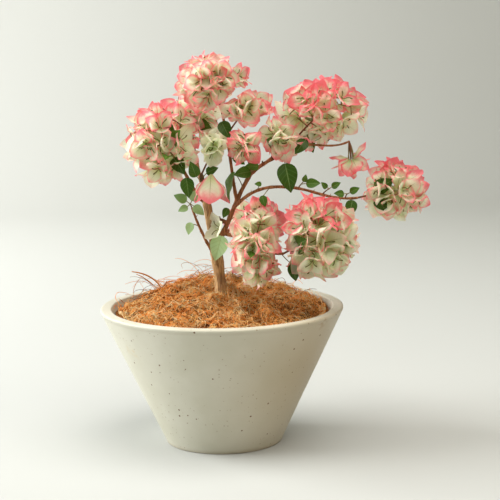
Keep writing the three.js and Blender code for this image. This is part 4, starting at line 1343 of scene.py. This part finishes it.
def mound_material():
    # The darkest colour is painted shade for the gaps between strands.
    painted_gap_shade, strand, damp = (0.085, 0.028, 0.009), (0.52, 0.21, 0.05), (0.16, 0.06, 0.02)
    g = Graph("coir_core")
    fine = g.noise(g.place((1, 1, 2)), 420.0, 5.0, 0.7)
    # Painted shade: dark gaps between the strands of the core.
    color = g.blend(fine, 0.35, 0.68, painted_gap_shade, strand)
    color = g.tint(color, damp, g.ramp(g.noise(g.place(), 55.0), 0.4, 0.7), 0.3)
    return g.finish(color, 0.95, specular=0.1, normal=g.bump(fine, 0.002, 0.8))


def fibre_material():
    """From dark brown over orange to straw, by the strand's tone."""
    brown, orange = (0.17, 0.042, 0.011), (0.95, 0.355, 0.07)
    gold, straw = (1.0, 0.62, 0.21), (1.0, 0.83, 0.48)
    g = Graph("coir_fibre")
    tone = g.pattern()[1]
    color = g.blend(tone, 0.0, 0.35, brown, orange)
    color = g.blend(tone, 0.3, 0.7, color, gold)
    color = g.blend(tone, 0.65, 1.0, color, straw)
    return g.finish(color, 0.75, specular=0.12, thin=0.3)


def soil_material():
    g = Graph("soil")
    grain = g.noise(g.place(), 180.0, 5.0, 0.7)
    color = g.mix(grain, (0.03, 0.018, 0.01), (0.12, 0.075, 0.045))
    return g.finish(color, 0.95, specular=0.1, normal=g.bump(grain, 0.002))


# Stage, in metres

FLOOR_FRONT = -5.0
FLOOR_BACK = 2.15
SWEEP = 1.2
BACKDROP_TOP = 4.0
BACKDROP_HALF = 6.0

# Lamps: name, place, the point that they shine on, size, power and colour
LAMPS = (
    ("window", (-2.1, 0.1, 1.25), (0, 0, 0.25), 2.2, 82, (0.99, 1.0, 0.99)),
    ("overhead", (0.5, -0.5, 2.5), (0.05, 0, 0.2), 2.4, 66, (1.0, 0.97, 0.91)),
    ("warm_side", (1.7, -1.3, 0.6), (0, 0, 0.2), 1.2, 4, (1.0, 0.62, 0.28)),
    ("wall_light", (-2.6, 1.2, 1.6), (-0.4, 3.2, 0.3), 1.2, 29, (1.0, 1.0, 0.97)),
)
SKY = (1.0, 0.94, 0.78, 1)
SKY_STRENGTH = 0.22

# Camera: how far in front of the pot's axis and how high it stands, its turns, and its focal length in pixels
CAMERA_FRONT = 1.861
CAMERA_HEIGHT = 0.532
CAMERA_YAW = math.radians(1.089)
CAMERA_PITCH = math.radians(9.02)
CAMERA_ROLL = math.radians(-0.87)
FOCAL_PIXELS = 1542
PICTURE_PIXELS = 500
SENSOR = 36


def build_stage():
    """A pale floor that sweeps up into a backdrop, with painted light that makes the backdrop paler on the
    left and darker on the right.
    """
    line = [(FLOOR_FRONT, 0.0), (FLOOR_BACK - 0.05, 0.0), (FLOOR_BACK, 0.0)]
    for a in np.linspace(0.08, math.pi / 2, 18):
        line.append((FLOOR_BACK + SWEEP * math.sin(a), SWEEP - SWEEP * math.cos(a)))
    line.append((FLOOR_BACK + SWEEP, BACKDROP_TOP))
    points = [(x, y, z) for y, z in line for x in (-BACKDROP_HALF, BACKDROP_HALF)]
    faces = [(2 * i, 2 * i + 1, 2 * i + 3, 2 * i + 2) for i in range(len(line) - 1)]
    mesh = bpy.data.meshes.new("backdrop")
    mesh.from_pydata(points, [], faces)
    mesh.shade_smooth()
    g = Graph("backdrop")
    # Painted light: the backdrop paler on the left, where the light comes from, and darker on the right.
    wall = g.blend(g.axis(0), -1.0, 1.0, (0.80, 0.82, 0.80), (0.56, 0.573, 0.545))
    color = g.blend(g.axis(1), 0.1, 2.2, (0.53, 0.545, 0.53), wall)
    mesh.materials.append(g.finish(color, 0.7, specular=0.1))
    add_object("backdrop", mesh)


def stand(right, up, back, place):
    """The matrix of a lamp or camera that stands at a place and looks the other way from back."""
    return Matrix([[right[i], up[i], back[i], place[i]] for i in range(3)] + [[0, 0, 0, 1]])


def build_lights():
    for name, place, target, size, power, color in LAMPS:
        lamp = bpy.data.lights.new(name, "AREA")
        lamp.shape = "DISK"
        lamp.size = size
        lamp.energy = power
        lamp.color = color
        back = unit(vec(*place) - vec(*target))
        right = unit(np.cross(vec(0, 0, 1), back))
        add_object(name, lamp).matrix_world = stand(right, np.cross(back, right), back, place)
    world = bpy.data.worlds.new("room")
    world.use_nodes = True
    world.node_tree.nodes["Background"].inputs[0].default_value = SKY
    world.node_tree.nodes["Background"].inputs[1].default_value = SKY_STRENGTH
    bpy.context.scene.world = world
    bpy.context.scene.view_settings.view_transform = "Standard"


def build_camera():
    level = vec(math.cos(CAMERA_YAW), -math.sin(CAMERA_YAW), 0)
    ahead = vec(math.sin(CAMERA_YAW), math.cos(CAMERA_YAW), 0)
    forward = ahead * math.cos(CAMERA_PITCH) - vec(0, 0, math.sin(CAMERA_PITCH))
    upright = np.cross(level, forward)
    right = level * math.cos(CAMERA_ROLL) + upright * math.sin(CAMERA_ROLL)
    up = upright * math.cos(CAMERA_ROLL) - level * math.sin(CAMERA_ROLL)
    data = bpy.data.cameras.new("camera")
    data.sensor_width = SENSOR
    data.lens = SENSOR * FOCAL_PIXELS / PICTURE_PIXELS
    camera = add_object("camera", data)
    camera.matrix_world = stand(right, up, -forward, (0, -CAMERA_FRONT, CAMERA_HEIGHT))
    bpy.context.scene.camera = camera


# Plant

def grow_foliage(pieces):
    draw = seeded(2718)
    sprig_points = sprig_samples()
    for index, mass in enumerate(MASSES):
        grown = Mass(index, sprig_points).grow()
        add_twig(pieces["twigs"], grown.root, grown.stem_end, STEM_RADII, draw, low=0.0, high=0.35, sag=0.05)
        for head in grown.heads:
            rise = (head["site"][2] - CENTRES[index][2]) / RADII[index][2]
            patch = 0.16 * float(waves(head["site"], 60, 77))
            tint = mass["tint"] + mass["rise"] * rise + patch + 0.2 * (draw() - 0.5)
            if mass["fan"]:
                head["from"] = grown.root
            add_head(pieces, head, tint, draw)
        for leaf in grown.leaves:
            add_leaf(pieces["leaves"], pieces["twigs"], leaf, mix(0.0, 0.5, draw()), draw)
    for head in LOOSE_HEADS:
        add_head(pieces, loose_head(head), head["tint"], draw)
    for sprig in SPRIGS:
        if sprig["knot"]:
            root = limb_point(sprig["limb"], sprig["at"])
            add_twig(pieces["twigs"], root, vec(*sprig["knot"]), SHOOT_RADII, draw, high=0.6)
        for leaf in sprig_leaves(sprig):
            add_leaf(pieces["leaves"], pieces["twigs"], leaf, sprig["tone"], draw)


def build_foliage():
    pieces = {name: Piece() for name in ("bracts", "tubes", "stars", "twigs", "leaves")}
    grow_foliage(pieces)
    masses = [mass["name"] for mass in MASSES + LOOSE_HEADS]
    pieces["bracts"].build("bracts", bract_material(), "blossom", masses)
    pieces["tubes"].build("flower_tubes", tube_material(), "blossom")
    pieces["stars"].build("star_flowers", star_material(), "blossom")
    pieces["twigs"].build("twigs", twig_material(), "bark")
    pieces["leaves"].build("leaves", leaf_material(), "leaf", [sprig["name"] for sprig in SPRIGS])


def dress_soil():
    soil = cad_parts["soil"]
    soil.data.materials.clear()
    soil.data.materials.append(soil_material())


build_pot()
build_mound()
build_fibres()
build_bark()
build_foliage()
dress_soil()
build_stage()
build_lights()
build_camera()
